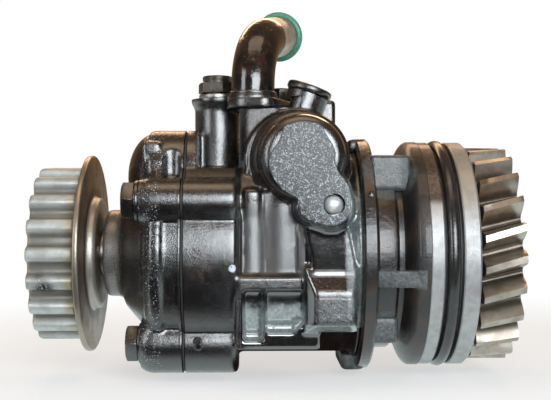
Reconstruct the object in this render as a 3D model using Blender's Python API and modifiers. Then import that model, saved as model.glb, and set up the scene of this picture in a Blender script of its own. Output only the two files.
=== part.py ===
"""Power steering pump with a helical gear drive at one end and a toothed coupling at the other.

X runs along the shaft towards the drive gear, Z is up and Y points away from the valve boss.
The origin lies on the shaft axis, in the face of the mounting flange that seats on the engine.
Sizes are in millimetres; MM turns them into Blender's metres.
"""

import math

import bmesh
import bpy
from mathutils import Matrix, Vector

MM = 0.001

# Clearance between separate pieces, and the play that a turning or sliding piece has
SEAT = 0.3
RUN = 0.3

# Facet counts of round work
SIDES_BODY = 40
SIDES_MID = 24
SIDES_SMALL = 16
SIDES_TINY = 10

# Turn given to round cutters, so that their corners miss the edges of what they cut
MISS_TURN = math.radians(2.6)

# Drive end carrier: mounting flange, neck and machined spigot
FLANGE_R = 42.0
FLANGE_THICK = 4.8
EAR_WIDTH = 22.0
TOP_EAR_REACH = 2.6
BOTTOM_EAR_REACH = 4.4
NECK_R = 34.6
NECK_GROOVE_DEPTH = 2.1
NECK_BARREL_LENGTH = 7.1
SPIGOT_R = 40.7
SPIGOT_START = 17.7
SPIGOT_CAST_WIDTH = 3.3
RIM_WIDTH = 4.4
O_RING_GROOVE_WIDTH = 6.4
O_RING_GROOVE_DEPTH = 4.0
SPIGOT_O_RING_WIRE = 2.2
BACK_RIM_WIDTH = 5.8
PAD_LENGTH = 11.5
PAD_TOP_Z = 35.0
PAD_HEIGHT = 12.5
PAD_NEAR_Y = -26.5

# Drive end bearing, seals and shaft steps
BEARING_BORE_R = 12.5
BEARING_OUTER_R = 26.0
BEARING_WIDTH = 15.0
BEARING_START = 14.3
BALL_R = 0.29 * (BEARING_OUTER_R - BEARING_BORE_R)
BALL_COUNT = 9
CAGE_WIDTH = 2.2 * BALL_R
CAGE_WALL = 0.5 * BALL_R
CIRCLIP_THICK = 1.5
CIRCLIP_DEPTH = 4.0
CIRCLIP_GROOVE = 1.5
CARRIER_BORE_R = 21.0
COLLAR_R = 15.0
COLLAR_WIDTH = 6.0
SEAL_LAND_R = 11.0
REAR_JOURNAL_R = 9.5
ROTOR_SEAT_R = 9.0
FRONT_JOURNAL_R = 8.5
HUB_SEAT_R = 7.5
HUB_THREAD_R = 5.9
GEAR_SEAT_R = 11.0
GEAR_THREAD_R = 9.0

# Helical drive gear
GEAR_TEETH = 23
GEAR_MODULE = 3.0
GEAR_HELIX = math.radians(15.0)
GEAR_PRESSURE = math.radians(20.0)
GEAR_START = 36.0
GEAR_WIDTH = 14.0
GEAR_WEB = 6.0
GEAR_RECESS_R = 24.0
GEAR_BOSS_R = 15.5
GEAR_WASHER_R = 15.0
GEAR_WASHER_THICK = 1.6
GEAR_NUT_FLATS = 27.0
GEAR_NUT_THICK = 5.2
KEY_WIDTH = 6.0
KEY_LENGTH = 9.0
KEY_RISE = 2.8

# Pump housing, pump pack and front cover
HOUSING_R = 36.0
HOUSING_LARGE_R = 38.0
LARGE_SECTION_LENGTH = 18.2
HOUSING_LENGTH = 59.4
PACK_R = 28.1
PACK_DEPTH = 30.0
REAR_PLATE_THICK = 6.0
FRONT_PLATE_THICK = 7.0
PILOT_R = 23.8
PILOT_LENGTH = 7.6
REAR_SEAL_R = 15.0
REAR_SEAL_WIDTH = 7.0
REAR_SEAL_POCKET = 13.5
GASKET_THICK = 0.6
COVER_PLATE_THICK = 13.3
COVER_RIM_WIDTH = 0.9
COVER_BAND_WIDTH = 5.4
COVER_BAND_DEPTH = 1.4
NOSE_R = 15.8
NOSE_REACH = 29.2
BUSH_LENGTH = 15.0
BUSH_WALL = 1.7
SEAL_R = 13.0
SEAL_WIDTH = 6.9

# Raised top of the cover, with the housing flange behind it and the dome in front of it
TOP_LUG_Y = -6.0
TOP_LUG_Z = 28.0
TOP_LUG_R = 16.6
TOP_FLANGE_THICK = 3.4
DOME_Y = 6.0
DOME_R = 16.4
DOME_REACH = 10.2

# Cover bolts and their bosses
BOLT_CIRCLE_R = HOUSING_LARGE_R - 2.0
BOLT_FIRST_ANGLE = math.radians(32.0)
BOLT_COUNT = 4
BOLT_R = 3.9
BOLT_HEAD_FLATS = 12.0
BOLT_HEAD_THICK = 4.2
BOLT_REACH = 13.0
WASHER_R = 7.0
WASHER_THICK = 1.2
BOSS_SMALL_R = 7.9
BOSS_LARGE_R = 10.3
SPOTFACE_HEIGHT = 0.5
SPOTFACE_R = 9.0

# Rotor, vanes and cam ring
ROTOR_R = 20.1
VANE_COUNT = 10
VANE_THICK = 1.8
VANE_DEPTH = 8.0
CAM_SMALL_R = 20.5
CAM_LARGE_R = 23.5
PIN_R = 1.8
PIN_CIRCLE_R = 24.6
PORT_HOLE_R = 2.6
PORT_HOLE_CIRCLE_R = 21.5

# Flow control valve, which lies across the shaft
VALVE_X = -25.0
VALVE_Z = 33.4
VALVE_BODY_R = 17.0
VALVE_BARREL_R = 14.4
VALVE_FACE_R = 10.9
VALVE_NEAR_Y = -45.0
VALVE_FAR_Y = HOUSING_R - 4.0
VALVE_STEP_Y = -28.0
SHOULDER_OFFSET = 2.3
SHOULDER_NEAR_Y = -23.0
SHOULDER_FAR_Y = 14.0
VALVE_SPOOL_R = 8.0
VALVE_WAIST_R = 5.4
VALVE_SPOOL_LENGTH = 28.0
VALVE_BORE_END_Y = -36.0
VALVE_PLUG_R = 10.0
VALVE_PLUG_FLATS = 24.0
VALVE_PLUG_HEAD = 6.0
VALVE_PLUG_REACH = 15.0
PLUG_GROOVE_R = 8.2
PLUG_O_RING_WIRE = 0.75
SPRING_R = 5.6
SPRING_WIRE_R = 0.9
SPRING_TURNS = 6
LOBE_X = -15.0
LOBE_Z = 18.0
LOBE_R = 6.8
LOBE_HEEL = 7.4
LOBE_HEEL_R = 4.4
BALL_PLUG_R = 3.35
BALL_PLUG_SINK = 0.5

# Pressure port with its hex plug
PORT_X = -54.8
PORT_Y = 6.0
PORT_R = 8.4
PORT_TOP_Z = 57.0
PORT_COLLAR_R = 9.7
PORT_PLUG_FLATS = 13.0
PORT_PLUG_HEX_THICK = 4.1
PORT_PLUG_CAP_R = 5.8
PORT_PLUG_CAP_THICK = 2.6
PORT_PLUG_R = 5.0
PORT_PLUG_REACH = 10.0
PORT_PLUG_TURN = math.radians(46.0)
PORT_WASHER_R = 7.0
PORT_WASHER_THICK = 1.6
SHELF_Z = 30.8

# Suction port with its bent pipe and retaining plate
SUCTION_X = -41.5
SUCTION_Y = -9.5
SUCTION_TOP_Z = 51.7
PASSAGE_X = -39.3
PASSAGE_Y = -8.3
PASSAGE_R = 4.2
COLUMN_WALL = 3.2
COLUMN_NEAR_X = -31.0
COLUMN_NEAR_Y = -12.8
PIPE_R = 7.8
PIPE_WALL = 1.5
PIPE_SOCKET_DEPTH = 3.8
PIPE_BEND_START_Z = 60.5
PIPE_BEND_R = 20.0
PIPE_BEND_ANGLE = math.radians(78.0)
PIPE_BEND_STEPS = 8
PIPE_HEADING = math.radians(18.3)
PIPE_END_LENGTH = 21.0
PIPE_GROOVE_DEPTH = 1.1
PIPE_GROOVE_WIDTH = 3.4
PIPE_GROOVE_INSET = 3.2
PIPE_O_RING_WIRE = 1.3
BASE_O_RING_WIRE = 0.75
BASE_SEAL_R = 6.3
PLATE_THICK = 3.7
PLATE_R = 9.4
PLATE_NEAR_X = -38.0
PLATE_NEAR_Y = -14.8
PLATE_NEAR_R = 5.0
PLATE_NECK_HEIGHT = 2.5
PLATE_BOLT_X = -31.1
PLATE_BOLT_Y = 2.0
PLATE_BOLT_R = 2.2
PLATE_BOLT_FLATS = 8.0
PLATE_BOLT_HEAD = 4.8
PLATE_BOLT_REACH = 9.0
PLATE_LOBE_R = 5.2

# Tilted screw plug
TILT_X = -21.4
TILT_Y = -14.0
TILT_Z = 58.5
TILT_ANGLE = math.radians(19.5)
TILT_HEAD_R = 8.1
TILT_HEAD_THICK = 2.6
TILT_BOSS_R = 7.4
TILT_BOSS_LENGTH = 19.0
TILT_THREAD_R = 5.0
TILT_THREAD_LENGTH = 7.0
TILT_SOCKET_FLATS = 6.0
TILT_SOCKET_DEPTH = 1.6

# Near side of the housing: ledge, flat and ribs above it, pockets below it, duct and chamfered block
LEDGE_Z = -5.7
NEAR_FLAT_Y = -31.8
NEAR_FLAT_TOP_Z = 16.5
NEAR_BLOCK_Y = -37.4
NEAR_BLOCK_BOTTOM_Z = -30.5
RIB_HEIGHT = 2.4
RIB_ROUNDING = 2.2
RIB_LEFT_X = -45.0
RIB_VALLEY_X = -37.6
RIB_RIGHT_X = -24.6
RIB_TOP_Z = 24.0
DUCT_TOP_Z = 12.0
DUCT_BOTTOM_Z = -6.0
DUCT_RIGHT_X = -10.6
DUCT_WIDTH = 14.0
BLOCK_RIGHT_X = -7.0
BLOCK_WIDTH = 17.4
BLOCK_TOP_Z = -2.6
BLOCK_HEIGHT = 21.7
BLOCK_SLOPE = 8.4
BLOCK_CHAMFER = 3.6
POCKET_TOP_Z = -10.8
POCKET_BOTTOM_Z = -27.6
POCKET_STEP = 2.9
POCKET_DEPTH = 3.4
POCKET_WALL_X = -37.6
POCKET_RIGHT_X = -24.3
DUCT_NEAR_Y = -39.6
BLOCK_NEAR_Y = -42.5
BLOCK_SHOULDER_Y = -38.4
REAR_LUG_HEIGHT = 23.6

# Toothed coupling at the front end
DISC_R = 35.8
DISC_THICK = 1.9
DISC_BOSS_R = 20.3
DISC_BOSS_HEIGHT = 2.9
SHOULDER_GAP = 1.6
HUB_TEETH = 19
HUB_TIP_R = 31.6
HUB_TOOTH_DEPTH = 3.6
HUB_WIDTH = 15.9
HUB_WEB = 6.5
HUB_RECESS_R = 21.0
HUB_BOSS_R = 18.0
HUB_BOSS_HEIGHT = 0.6
HUB_PHASE = math.radians(2.0)
COUPLING_NUT_FLATS = 19.0
COUPLING_NUT_THICK = 6.2
THREAD_OVERHANG = 1.4

# Stations along the shaft that follow from the sizes above
HOUSING_BACK = -FLANGE_THICK - SEAT
HOUSING_FRONT = HOUSING_BACK - HOUSING_LENGTH
LARGE_END = HOUSING_FRONT + LARGE_SECTION_LENGTH
PILOT_END = HOUSING_BACK + PILOT_LENGTH
REAR_SEAL_FRONT = PILOT_END - REAR_SEAL_POCKET
GASKET_BACK = HOUSING_FRONT - SEAT
GASKET_FRONT = GASKET_BACK - GASKET_THICK
COVER_BACK = GASKET_FRONT - SEAT
COVER_FACE = COVER_BACK - COVER_PLATE_THICK
NOSE_FRONT = COVER_BACK - NOSE_REACH
SEAL_BACK = NOSE_FRONT + 0.5 + SEAL_WIDTH
BOSS_FACE = COVER_FACE - SPOTFACE_HEIGHT
WASHER_FRONT = BOSS_FACE - SEAT - WASHER_THICK
HEAD_BACK = WASHER_FRONT - SEAT
PACK_BACK = HOUSING_FRONT + PACK_DEPTH
REAR_PLATE_BACK = PACK_BACK - SEAT
REAR_PLATE_FRONT = REAR_PLATE_BACK - REAR_PLATE_THICK
FRONT_PLATE_FRONT = COVER_BACK + SEAT
FRONT_PLATE_BACK = FRONT_PLATE_FRONT + FRONT_PLATE_THICK
CAM_FRONT = FRONT_PLATE_BACK + SEAT
CAM_BACK = REAR_PLATE_FRONT - SEAT
SPIGOT_END = SPIGOT_START + RIM_WIDTH + O_RING_GROOVE_WIDTH + BACK_RIM_WIDTH
BEARING_END = BEARING_START + BEARING_WIDTH
BEARING_MIDDLE = BEARING_START + BEARING_WIDTH / 2
BALL_CIRCLE_R = (BEARING_BORE_R + BEARING_OUTER_R) / 2
GEAR_WEB_END = GEAR_START + GEAR_WEB
GEAR_END = GEAR_START + GEAR_WIDTH
GEAR_WASHER_END = GEAR_WEB_END + SEAT + GEAR_WASHER_THICK
SHAFT_END = GEAR_WASHER_END + SEAT + GEAR_NUT_THICK
SHAFT_SHOULDER = NOSE_FRONT - SHOULDER_GAP
DISC_BOSS_FACE = SHAFT_SHOULDER - SEAT
DISC_BACK = DISC_BOSS_FACE - DISC_BOSS_HEIGHT
DISC_FRONT = DISC_BACK - DISC_THICK
HUB_BOSS_FACE = DISC_FRONT - SEAT
HUB_BACK = HUB_BOSS_FACE - HUB_BOSS_HEIGHT
HUB_FRONT = HUB_BACK - HUB_WIDTH
HUB_WEB_FRONT = HUB_BACK - HUB_WEB
COUPLING_NUT_BACK = HUB_WEB_FRONT - SEAT
COUPLING_NUT_FRONT = COUPLING_NUT_BACK - COUPLING_NUT_THICK
VALVE_BORE_R = VALVE_SPOOL_R + RUN
SPOOL_NEAR_Y = VALVE_BORE_END_Y + SEAT
SPOOL_FAR_Y = SPOOL_NEAR_Y + VALVE_SPOOL_LENGTH
PLUG_INNER_Y = VALVE_FAR_Y + SEAT - VALVE_PLUG_REACH
PLATE_BOTTOM_Z = SUCTION_TOP_Z + SEAT
PLATE_TOP_Z = PLATE_BOTTOM_Z + PLATE_THICK
PIPE_START_Z = PLATE_TOP_Z + PLATE_NECK_HEIGHT - PIPE_SOCKET_DEPTH + SEAT
COLUMN_R = PASSAGE_R + COLUMN_WALL
PORT_WASHER_TOP_Z = PORT_TOP_Z + SEAT + PORT_WASHER_THICK
NEAR_LEFT_X = LARGE_END + 1.2

# Finishes: colour, metallic value and roughness
BLACK_PAINT = ((0.018, 0.017, 0.018), 0.0, 0.28)
CAST_METAL = ((0.36, 0.35, 0.34), 0.8, 0.45)
BRIGHT_STEEL = ((0.62, 0.60, 0.57), 1.0, 0.28)
DARK_STEEL = ((0.24, 0.22, 0.20), 0.9, 0.45)
ALLOY = ((0.66, 0.66, 0.66), 0.9, 0.42)
BRONZE = ((0.50, 0.33, 0.16), 0.9, 0.40)
BLACK_RUBBER = ((0.02, 0.02, 0.02), 0.0, 0.55)
GREEN_RUBBER = ((0.04, 0.28, 0.20), 0.0, 0.45)
FIBRE = ((0.30, 0.28, 0.24), 0.0, 0.80)


def clear_scene():
    """Remove every object of the open file."""
    for obj in list(bpy.data.objects):
        bpy.data.objects.remove(obj, do_unlink=True)


def new_collection(name):
    """Add a collection to the scene."""
    collection = bpy.data.collections.new(name)
    bpy.context.scene.collection.children.link(collection)
    return collection


clear_scene()
PUMP = new_collection("power_steering_pump")
CUTTERS = new_collection("cutters")


def material(name, finish):
    """A Principled material with one colour, metallic value and roughness."""
    colour, metallic, roughness = finish
    made = bpy.data.materials.new(name)
    made.use_nodes = True
    shader = made.node_tree.nodes["Principled BSDF"]
    shader.inputs["Base Color"].default_value = (*colour, 1.0)
    shader.inputs["Metallic"].default_value = metallic
    shader.inputs["Roughness"].default_value = roughness
    return made


def frame(x=0.0, y=0.0, z=0.0, axis="X", tilt=0.0):
    """Matrix of a local frame whose Z axis runs along the named axis; tilt leans a Z axis towards X."""
    turns = {
        "X": Matrix.Rotation(math.pi / 2, 4, "Y"),
        "Y": Matrix.Rotation(-math.pi / 2, 4, "X"),
        "Z": Matrix.Rotation(tilt, 4, "Y"),
    }
    return Matrix.Translation(Vector((x, y, z)) * MM) @ turns[axis]


def add_object(name, data, matrix, finish):
    """Link an object: with a finish it is a piece of the pump, without one it is a hidden shape."""
    obj = bpy.data.objects.new(name, data)
    obj.matrix_world = matrix
    if finish is None:
        CUTTERS.objects.link(obj)
        obj.hide_render = True
        obj.display_type = "WIRE"
        return obj
    PUMP.objects.link(obj)
    data.materials.append(material(name, finish))
    return obj


def mesh_from(bm, name):
    """Turn a bmesh that was built in millimetres into a smooth-shaded mesh in metres."""
    bmesh.ops.scale(bm, vec=(MM, MM, MM), verts=bm.verts)
    bmesh.ops.recalc_face_normals(bm, faces=bm.faces)
    mesh = bpy.data.meshes.new(name)
    bm.to_mesh(mesh)
    bm.free()
    mesh.shade_smooth()
    mesh.set_sharp_from_angle(angle=math.radians(35.0))
    return mesh


def cutter_frame(name, matrix):
    """The frame itself, or for a cutter the frame turned a little about its own axis."""
    turn = MISS_TURN if name.startswith("cut_") else 0.0
    return matrix @ Matrix.Rotation(turn, 4, "Z")


def turned(name, outline, matrix, finish=None, steps=SIDES_SMALL):
    """Turn an outline of (along, radius) points, which runs down the outer side and up any inner side."""
    closed = outline[0][1] > 0.0
    bm = bmesh.new()
    verts = [bm.verts.new((radius * MM, 0.0, along * MM)) for along, radius in outline]
    for first, second in zip(verts, verts[1:]):
        bm.edges.new((first, second))
    if closed:
        bm.edges.new((verts[-1], verts[0]))
    mesh = bpy.data.meshes.new(name)
    bm.to_mesh(mesh)
    bm.free()
    obj = add_object(name, mesh, cutter_frame(name, matrix), finish)
    screw = obj.modifiers.new("turn", "SCREW")
    screw.axis = "Z"
    screw.steps = steps
    screw.render_steps = steps
    screw.use_merge_vertices = True
    screw.merge_threshold = 0.000001
    screw.use_smooth_shade = True
    return obj


def rod(name, matrix, start, end, radius, finish=None, sides=SIDES_SMALL):
    """A round bar along the frame's axis."""
    bm = bmesh.new()
    middle = Matrix.Translation((0.0, 0.0, (start + end) / 2))
    bmesh.ops.create_cone(bm, cap_ends=True, segments=sides, radius1=radius, radius2=radius,
                          depth=end - start, matrix=middle)
    return add_object(name, mesh_from(bm, name), cutter_frame(name, matrix), finish)


def block(name, low, high, finish=None, bevel=0.0, matrix=None):
    """A box between two corners, with rounded edges where a bevel is given."""
    size = [top - bottom for bottom, top in zip(low, high)]
    centre = [(top + bottom) / 2 for bottom, top in zip(low, high)]
    bm = bmesh.new()
    bmesh.ops.create_cube(bm, size=1.0)
    bmesh.ops.scale(bm, vec=size, verts=bm.verts)
    bmesh.ops.translate(bm, vec=centre, verts=bm.verts)
    obj = add_object(name, mesh_from(bm, name), matrix or Matrix.Identity(4), finish)
    if bevel > 0.0:
        rounding = obj.modifiers.new("rounding", "BEVEL")
        rounding.width = bevel * MM
        rounding.segments = 2
        rounding.limit_method = "ANGLE"
    return obj


def loft(name, sections, matrix, finish=None):
    """A solid through sections of (along, points), which all have as many points."""
    bm = bmesh.new()
    rings = [[bm.verts.new((x, y, along)) for x, y in points] for along, points in sections]
    bm.faces.new(rings[0])
    bm.faces.new(rings[-1])
    for lower, upper in zip(rings, rings[1:]):
        for index in range(len(lower)):
            after = (index + 1) % len(lower)
            bm.faces.new((lower[index], lower[after], upper[after], upper[index]))
    return add_object(name, mesh_from(bm, name), matrix, finish)


def side_points(corners):
    """Turn (x, z) corners into the local points of a frame along Y."""
    return [(x, -z) for x, z in corners]


def rectangle(left, right, bottom, top):
    """Corners of a rectangle."""
    return [(left, bottom), (right, bottom), (right, top), (left, top)]


def hexagon(flats, turn=0.0):
    """Corners of a hexagon given across its flats."""
    corner = flats / 2 / math.cos(math.pi / 6)
    angles = [turn + math.pi / 3 * index for index in range(6)]
    return [(corner * math.cos(angle), corner * math.sin(angle)) for angle in angles]


def hex_bar(name, matrix, start, end, flats, finish=None, turn=0.0):
    """A hexagonal bar with a chamfer at its free end."""
    chamfer = 0.05 * flats
    full = hexagon(flats, turn)
    small = hexagon(flats - chamfer, turn)
    return loft(name, [(start, small), (start + chamfer, full), (end, full)], matrix, finish)


def hull_outline(circles, count=SIDES_SMALL):
    """Convex outline round circles of (x, y, radius)."""
    points = []
    for x, y, radius in circles:
        for index in range(count):
            angle = 2 * math.pi * (index + 0.5) / count
            points.append((x + radius * math.cos(angle), y + radius * math.sin(angle)))
    points.sort()
    outline = []
    for ordered in (points, points[::-1]):
        chain = []
        for point in ordered:
            while len(chain) > 1 and turns_right(chain[-2], chain[-1], point):
                chain.pop()
            chain.append(point)
        outline += chain[:-1]
    return outline


def turns_right(first, second, third):
    """Whether the path through three points turns right or runs straight on."""
    across = (second[0] - first[0]) * (third[1] - first[1])
    return across - (second[1] - first[1]) * (third[0] - first[0]) <= 1e-9


def turned_points(points, angle, scale=1.0):
    """Turn and scale the points of an outline about its middle."""
    cosine, sine = math.cos(angle) * scale, math.sin(angle) * scale
    return [(x * cosine - y * sine, x * sine + y * cosine) for x, y in points]


def arc(centre_along, centre_radius, radius, start, end, count):
    """Points of an arc in an outline of (along, radius), with angles from the +along direction."""
    angles = [start + (end - start) * index / (count - 1) for index in range(count)]
    return [(centre_along + radius * math.cos(angle), centre_radius + radius * math.sin(angle))
            for angle in angles]


def ring_outline(back, front, outer, inner, edge=0.4):
    """Outline of a plain ring with small chamfers on its outer edges."""
    return [(back, outer - edge), (back - edge, outer), (front + edge, outer), (front, outer - edge),
            (front, inner), (back, inner)]


def torus_outline(centre_along, centre_radius, wire, count=8):
    """Outline of an O-ring."""
    return arc(centre_along, centre_radius, wire, 0.0, -2 * math.pi * (count - 1) / count, count)[::-1]


def combine(target, other, operation):
    """Add a Boolean modifier to the target."""
    modifier = target.modifiers.new(other.name, "BOOLEAN")
    modifier.operation = operation
    modifier.object = other
    modifier.solver = "EXACT"


def join(target, *others):
    """Fuse hidden shapes onto a piece."""
    for other in others:
        combine(target, other, "UNION")


def cut(target, *others):
    """Cut hidden shapes out of a piece."""
    for other in others:
        combine(target, other, "DIFFERENCE")


def bolt_places():
    """Centres (y, z) of the cover bolts, each with the radius of its boss."""
    radii = (BOSS_SMALL_R, BOSS_LARGE_R)
    places = []
    for index in range(BOLT_COUNT):
        angle = BOLT_FIRST_ANGLE + 2 * math.pi * index / BOLT_COUNT
        y = -BOLT_CIRCLE_R * math.cos(angle)
        z = BOLT_CIRCLE_R * math.sin(angle)
        places.append((y, z, radii[index % 2]))
    return places


def make_housing():
    """The pump housing: a stepped casting with its ports, valve boss, duct and bolt bosses."""
    step = HOUSING_LARGE_R - HOUSING_R
    body = turned("pump_housing", [
        (PILOT_END, 0.0), (PILOT_END, PILOT_R - 0.8), (PILOT_END - 0.8, PILOT_R), (HOUSING_BACK, PILOT_R),
        (HOUSING_BACK, HOUSING_R - 1.4), (HOUSING_BACK - 1.4, HOUSING_R), (LARGE_END + 0.6, HOUSING_R),
        (LARGE_END, HOUSING_R + 0.3 * step), (LARGE_END - 1.2, HOUSING_LARGE_R),
        (HOUSING_FRONT, HOUSING_LARGE_R), (HOUSING_FRONT, 0.0),
    ], frame(), BLACK_PAINT, SIDES_BODY)
    cut(body, near_flat(), top_shelf())
    join(body, *bolt_bosses(), *port_columns(), *valve_forms(), *side_forms())
    cut(body, *side_pockets(), *housing_bores())
    return body


def near_flat():
    """The flat above the ledge on the near side."""
    return block("cut_near_flat", (LARGE_END + 0.7, -HOUSING_R - 4.0, LEDGE_Z),
                 (VALVE_X - 1.4, NEAR_FLAT_Y, NEAR_FLAT_TOP_Z))


def top_shelf():
    """The shelf in front of the pressure column."""
    return block("cut_top_shelf", (HOUSING_FRONT + TOP_FLANGE_THICK, -HOUSING_LARGE_R - 4.0, SHELF_Z),
                 (LARGE_END + 1.3, PORT_Y - PORT_R - 0.6, HOUSING_LARGE_R + 4.0))


def bolt_bosses():
    """Bolt bosses of the large section, and the raised flange behind the top of the cover."""
    shapes = []
    for index, (y, z, radius) in enumerate(bolt_places(), start=1):
        shapes.append(turned(f"add_bolt_boss_{index}", [
            (LARGE_END, 0.0), (LARGE_END, radius - 2.0), (LARGE_END - 0.6, radius - 0.6),
            (LARGE_END - 2.0, radius), (HOUSING_FRONT, radius), (HOUSING_FRONT, 0.0),
        ], frame(y=y, z=z), steps=SIDES_MID))
    shapes.append(rod("add_top_flange", frame(y=TOP_LUG_Y, z=TOP_LUG_Z), HOUSING_FRONT,
                      HOUSING_FRONT + TOP_FLANGE_THICK, TOP_LUG_R, sides=SIDES_MID))
    return shapes


def port_columns():
    """Pressure column, suction column, the seat of the plate bolt and the cast lug behind them."""
    foot = SHELF_Z - 3.0
    pressure = turned("add_pressure_column", [
        (PORT_TOP_Z, 0.0), (PORT_TOP_Z, PORT_COLLAR_R - 0.3), (PORT_TOP_Z - 0.3, PORT_COLLAR_R),
        (PORT_TOP_Z - 1.4, PORT_COLLAR_R), (PORT_TOP_Z - 3.8, PORT_R), (foot, PORT_R), (foot, 0.0),
    ], frame(PORT_X, PORT_Y, axis="Z"), steps=SIDES_MID)
    column = hull_outline([(PASSAGE_X, PASSAGE_Y, COLUMN_R), (COLUMN_NEAR_X, COLUMN_NEAR_Y, COLUMN_R)])
    suction = loft("add_suction_column", [(foot, column), (SUCTION_TOP_Z, column)], frame(axis="Z"))
    seat = rod("add_plate_bolt_seat", frame(PLATE_BOLT_X, PLATE_BOLT_Y, axis="Z"), VALVE_Z,
               SUCTION_TOP_Z, PLATE_LOBE_R)
    lug = block("add_rear_lug", (VALVE_X + 3.0, 2.0, VALVE_Z),
                (VALVE_X + 14.3, 16.0, VALVE_Z + REAR_LUG_HEIGHT),
                bevel=1.4)
    return [pressure, suction, seat, lug]


def valve_forms():
    """Valve body with its near boss, the lobe beside it and the boss of the tilted plug."""
    barrel = turned("add_valve_body", [
        (VALVE_FAR_Y, 0.0), (VALVE_FAR_Y, VALVE_BODY_R - 1.6), (VALVE_FAR_Y - 1.6, VALVE_BODY_R),
        (VALVE_STEP_Y + 1.4, VALVE_BODY_R), (VALVE_STEP_Y, VALVE_BODY_R - 1.0),
        (VALVE_STEP_Y - 0.8, VALVE_BARREL_R), (VALVE_NEAR_Y + 5.4, VALVE_BARREL_R),
        (VALVE_NEAR_Y + 2.4, VALVE_BARREL_R - 1.1), (VALVE_NEAR_Y, VALVE_FACE_R), (VALVE_NEAR_Y, 0.0),
    ], frame(VALVE_X, 0.0, VALVE_Z, axis="Y"), steps=SIDES_BODY - 8)
    root_y = VALVE_STEP_Y + 4.0
    lobe_shape = side_points(hull_outline([
        (LOBE_X - LOBE_HEEL, LOBE_Z - 1.1, LOBE_HEEL_R), (LOBE_X - 0.6, LOBE_Z - 0.7, LOBE_R),
        (LOBE_X, LOBE_Z + 4.6, LOBE_R - 1.8), (LOBE_X - 5.5, LOBE_Z + LOBE_HEEL, LOBE_HEEL_R)]))
    lobe = loft("add_valve_lobe", [(VALVE_NEAR_Y, lobe_shape), (root_y, lobe_shape)], frame(axis="Y"))
    shoulder_shape = side_points(hull_outline([
        (VALVE_X, VALVE_Z, VALVE_BODY_R - 0.2), (VALVE_X - SHOULDER_OFFSET, VALVE_Z, VALVE_BODY_R)],
        SIDES_BODY - 8))
    shoulder = loft("add_valve_shoulder",
                    [(SHOULDER_NEAR_Y, shoulder_shape), (SHOULDER_FAR_Y, shoulder_shape)],
                    frame(axis="Y"))
    under_head = -TILT_HEAD_THICK / 2 - SEAT
    boss = turned("add_tilted_boss", [
        (under_head, 0.0), (under_head, TILT_BOSS_R - 0.8), (under_head - 0.8, TILT_BOSS_R),
        (-TILT_BOSS_LENGTH, TILT_BOSS_R), (-TILT_BOSS_LENGTH, 0.0),
    ], frame(TILT_X, TILT_Y, TILT_Z, axis="Z", tilt=TILT_ANGLE), steps=SIDES_MID)
    return [shoulder, barrel, lobe, boss]


def side_forms():
    """Ledge block, ribs, duct and chamfered block on the near side."""
    ledge = block("add_ledge_block", (NEAR_LEFT_X - 2.0, NEAR_BLOCK_Y, NEAR_BLOCK_BOTTOM_Z),
                  (VALVE_X + 6.0, -HOUSING_R / 2, LEDGE_Z), bevel=1.0)
    rib_y = NEAR_FLAT_Y - RIB_HEIGHT
    ribs = [
        block("add_rib_1", (RIB_LEFT_X, rib_y, LEDGE_Z - 2.0), (RIB_VALLEY_X - 0.8, rib_y + 9.0, RIB_TOP_Z),
              bevel=RIB_ROUNDING),
        block("add_rib_2", (RIB_VALLEY_X + 0.8, rib_y, LEDGE_Z - 2.1),
              (RIB_RIGHT_X, rib_y + 9.1, RIB_TOP_Z - 2.0),
              bevel=RIB_ROUNDING),
    ]
    duct_shape = side_points([
        (DUCT_RIGHT_X - DUCT_WIDTH, DUCT_TOP_Z), (BLOCK_RIGHT_X - DUCT_WIDTH, DUCT_BOTTOM_Z),
        (BLOCK_RIGHT_X, DUCT_BOTTOM_Z), (DUCT_RIGHT_X, DUCT_TOP_Z)])
    duct_root = -HOUSING_R + 8.0
    duct = loft("add_duct", [(DUCT_NEAR_Y, duct_shape), (duct_root, duct_shape)], frame(axis="Y"))
    right = BLOCK_RIGHT_X + 0.2
    wide = side_points(rectangle(right - BLOCK_WIDTH, right, BLOCK_TOP_Z - BLOCK_HEIGHT, BLOCK_TOP_Z))
    front = side_points(rectangle(
        right - BLOCK_WIDTH + BLOCK_CHAMFER, BLOCK_RIGHT_X - 1.4,
        BLOCK_TOP_Z - BLOCK_HEIGHT + 2.9, BLOCK_TOP_Z - BLOCK_SLOPE))
    knob = loft("add_chamfered_block", [(BLOCK_NEAR_Y, front), (BLOCK_SHOULDER_Y, wide),
                                        (duct_root + 0.2, wide)],
                frame(axis="Y"))
    return [ledge, *ribs, duct, knob]


def side_pockets():
    """The two pockets below the ledge; the right one has a slanted corner."""
    right_bottom = POCKET_BOTTOM_Z + POCKET_STEP
    left = [(NEAR_LEFT_X + 0.4, POCKET_BOTTOM_Z), (POCKET_WALL_X - 0.3, POCKET_BOTTOM_Z)]
    right = [(POCKET_WALL_X + 0.3, right_bottom), (POCKET_RIGHT_X - 3.4, right_bottom),
             (POCKET_RIGHT_X, right_bottom + POCKET_STEP)]
    return [loft(f"cut_pocket_{side}", [(x, pocket_section(bottom)) for x, bottom in ends], frame())
            for side, ends in (("left", left), ("right", right))]


def pocket_section(bottom):
    """Section of a pocket across the shaft: its floor is steep at the top and leans inwards below."""
    out, floor = NEAR_BLOCK_Y - 4.0, NEAR_BLOCK_Y + POCKET_DEPTH
    bend = POCKET_TOP_Z - 0.4 * (POCKET_TOP_Z - bottom)
    corners = [(out, POCKET_TOP_Z), (floor, POCKET_TOP_Z), (floor + 0.8, bend),
               (floor + 2 * POCKET_DEPTH, bottom),
               (out, bottom)]
    return [(-z, y) for y, z in corners]


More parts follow.
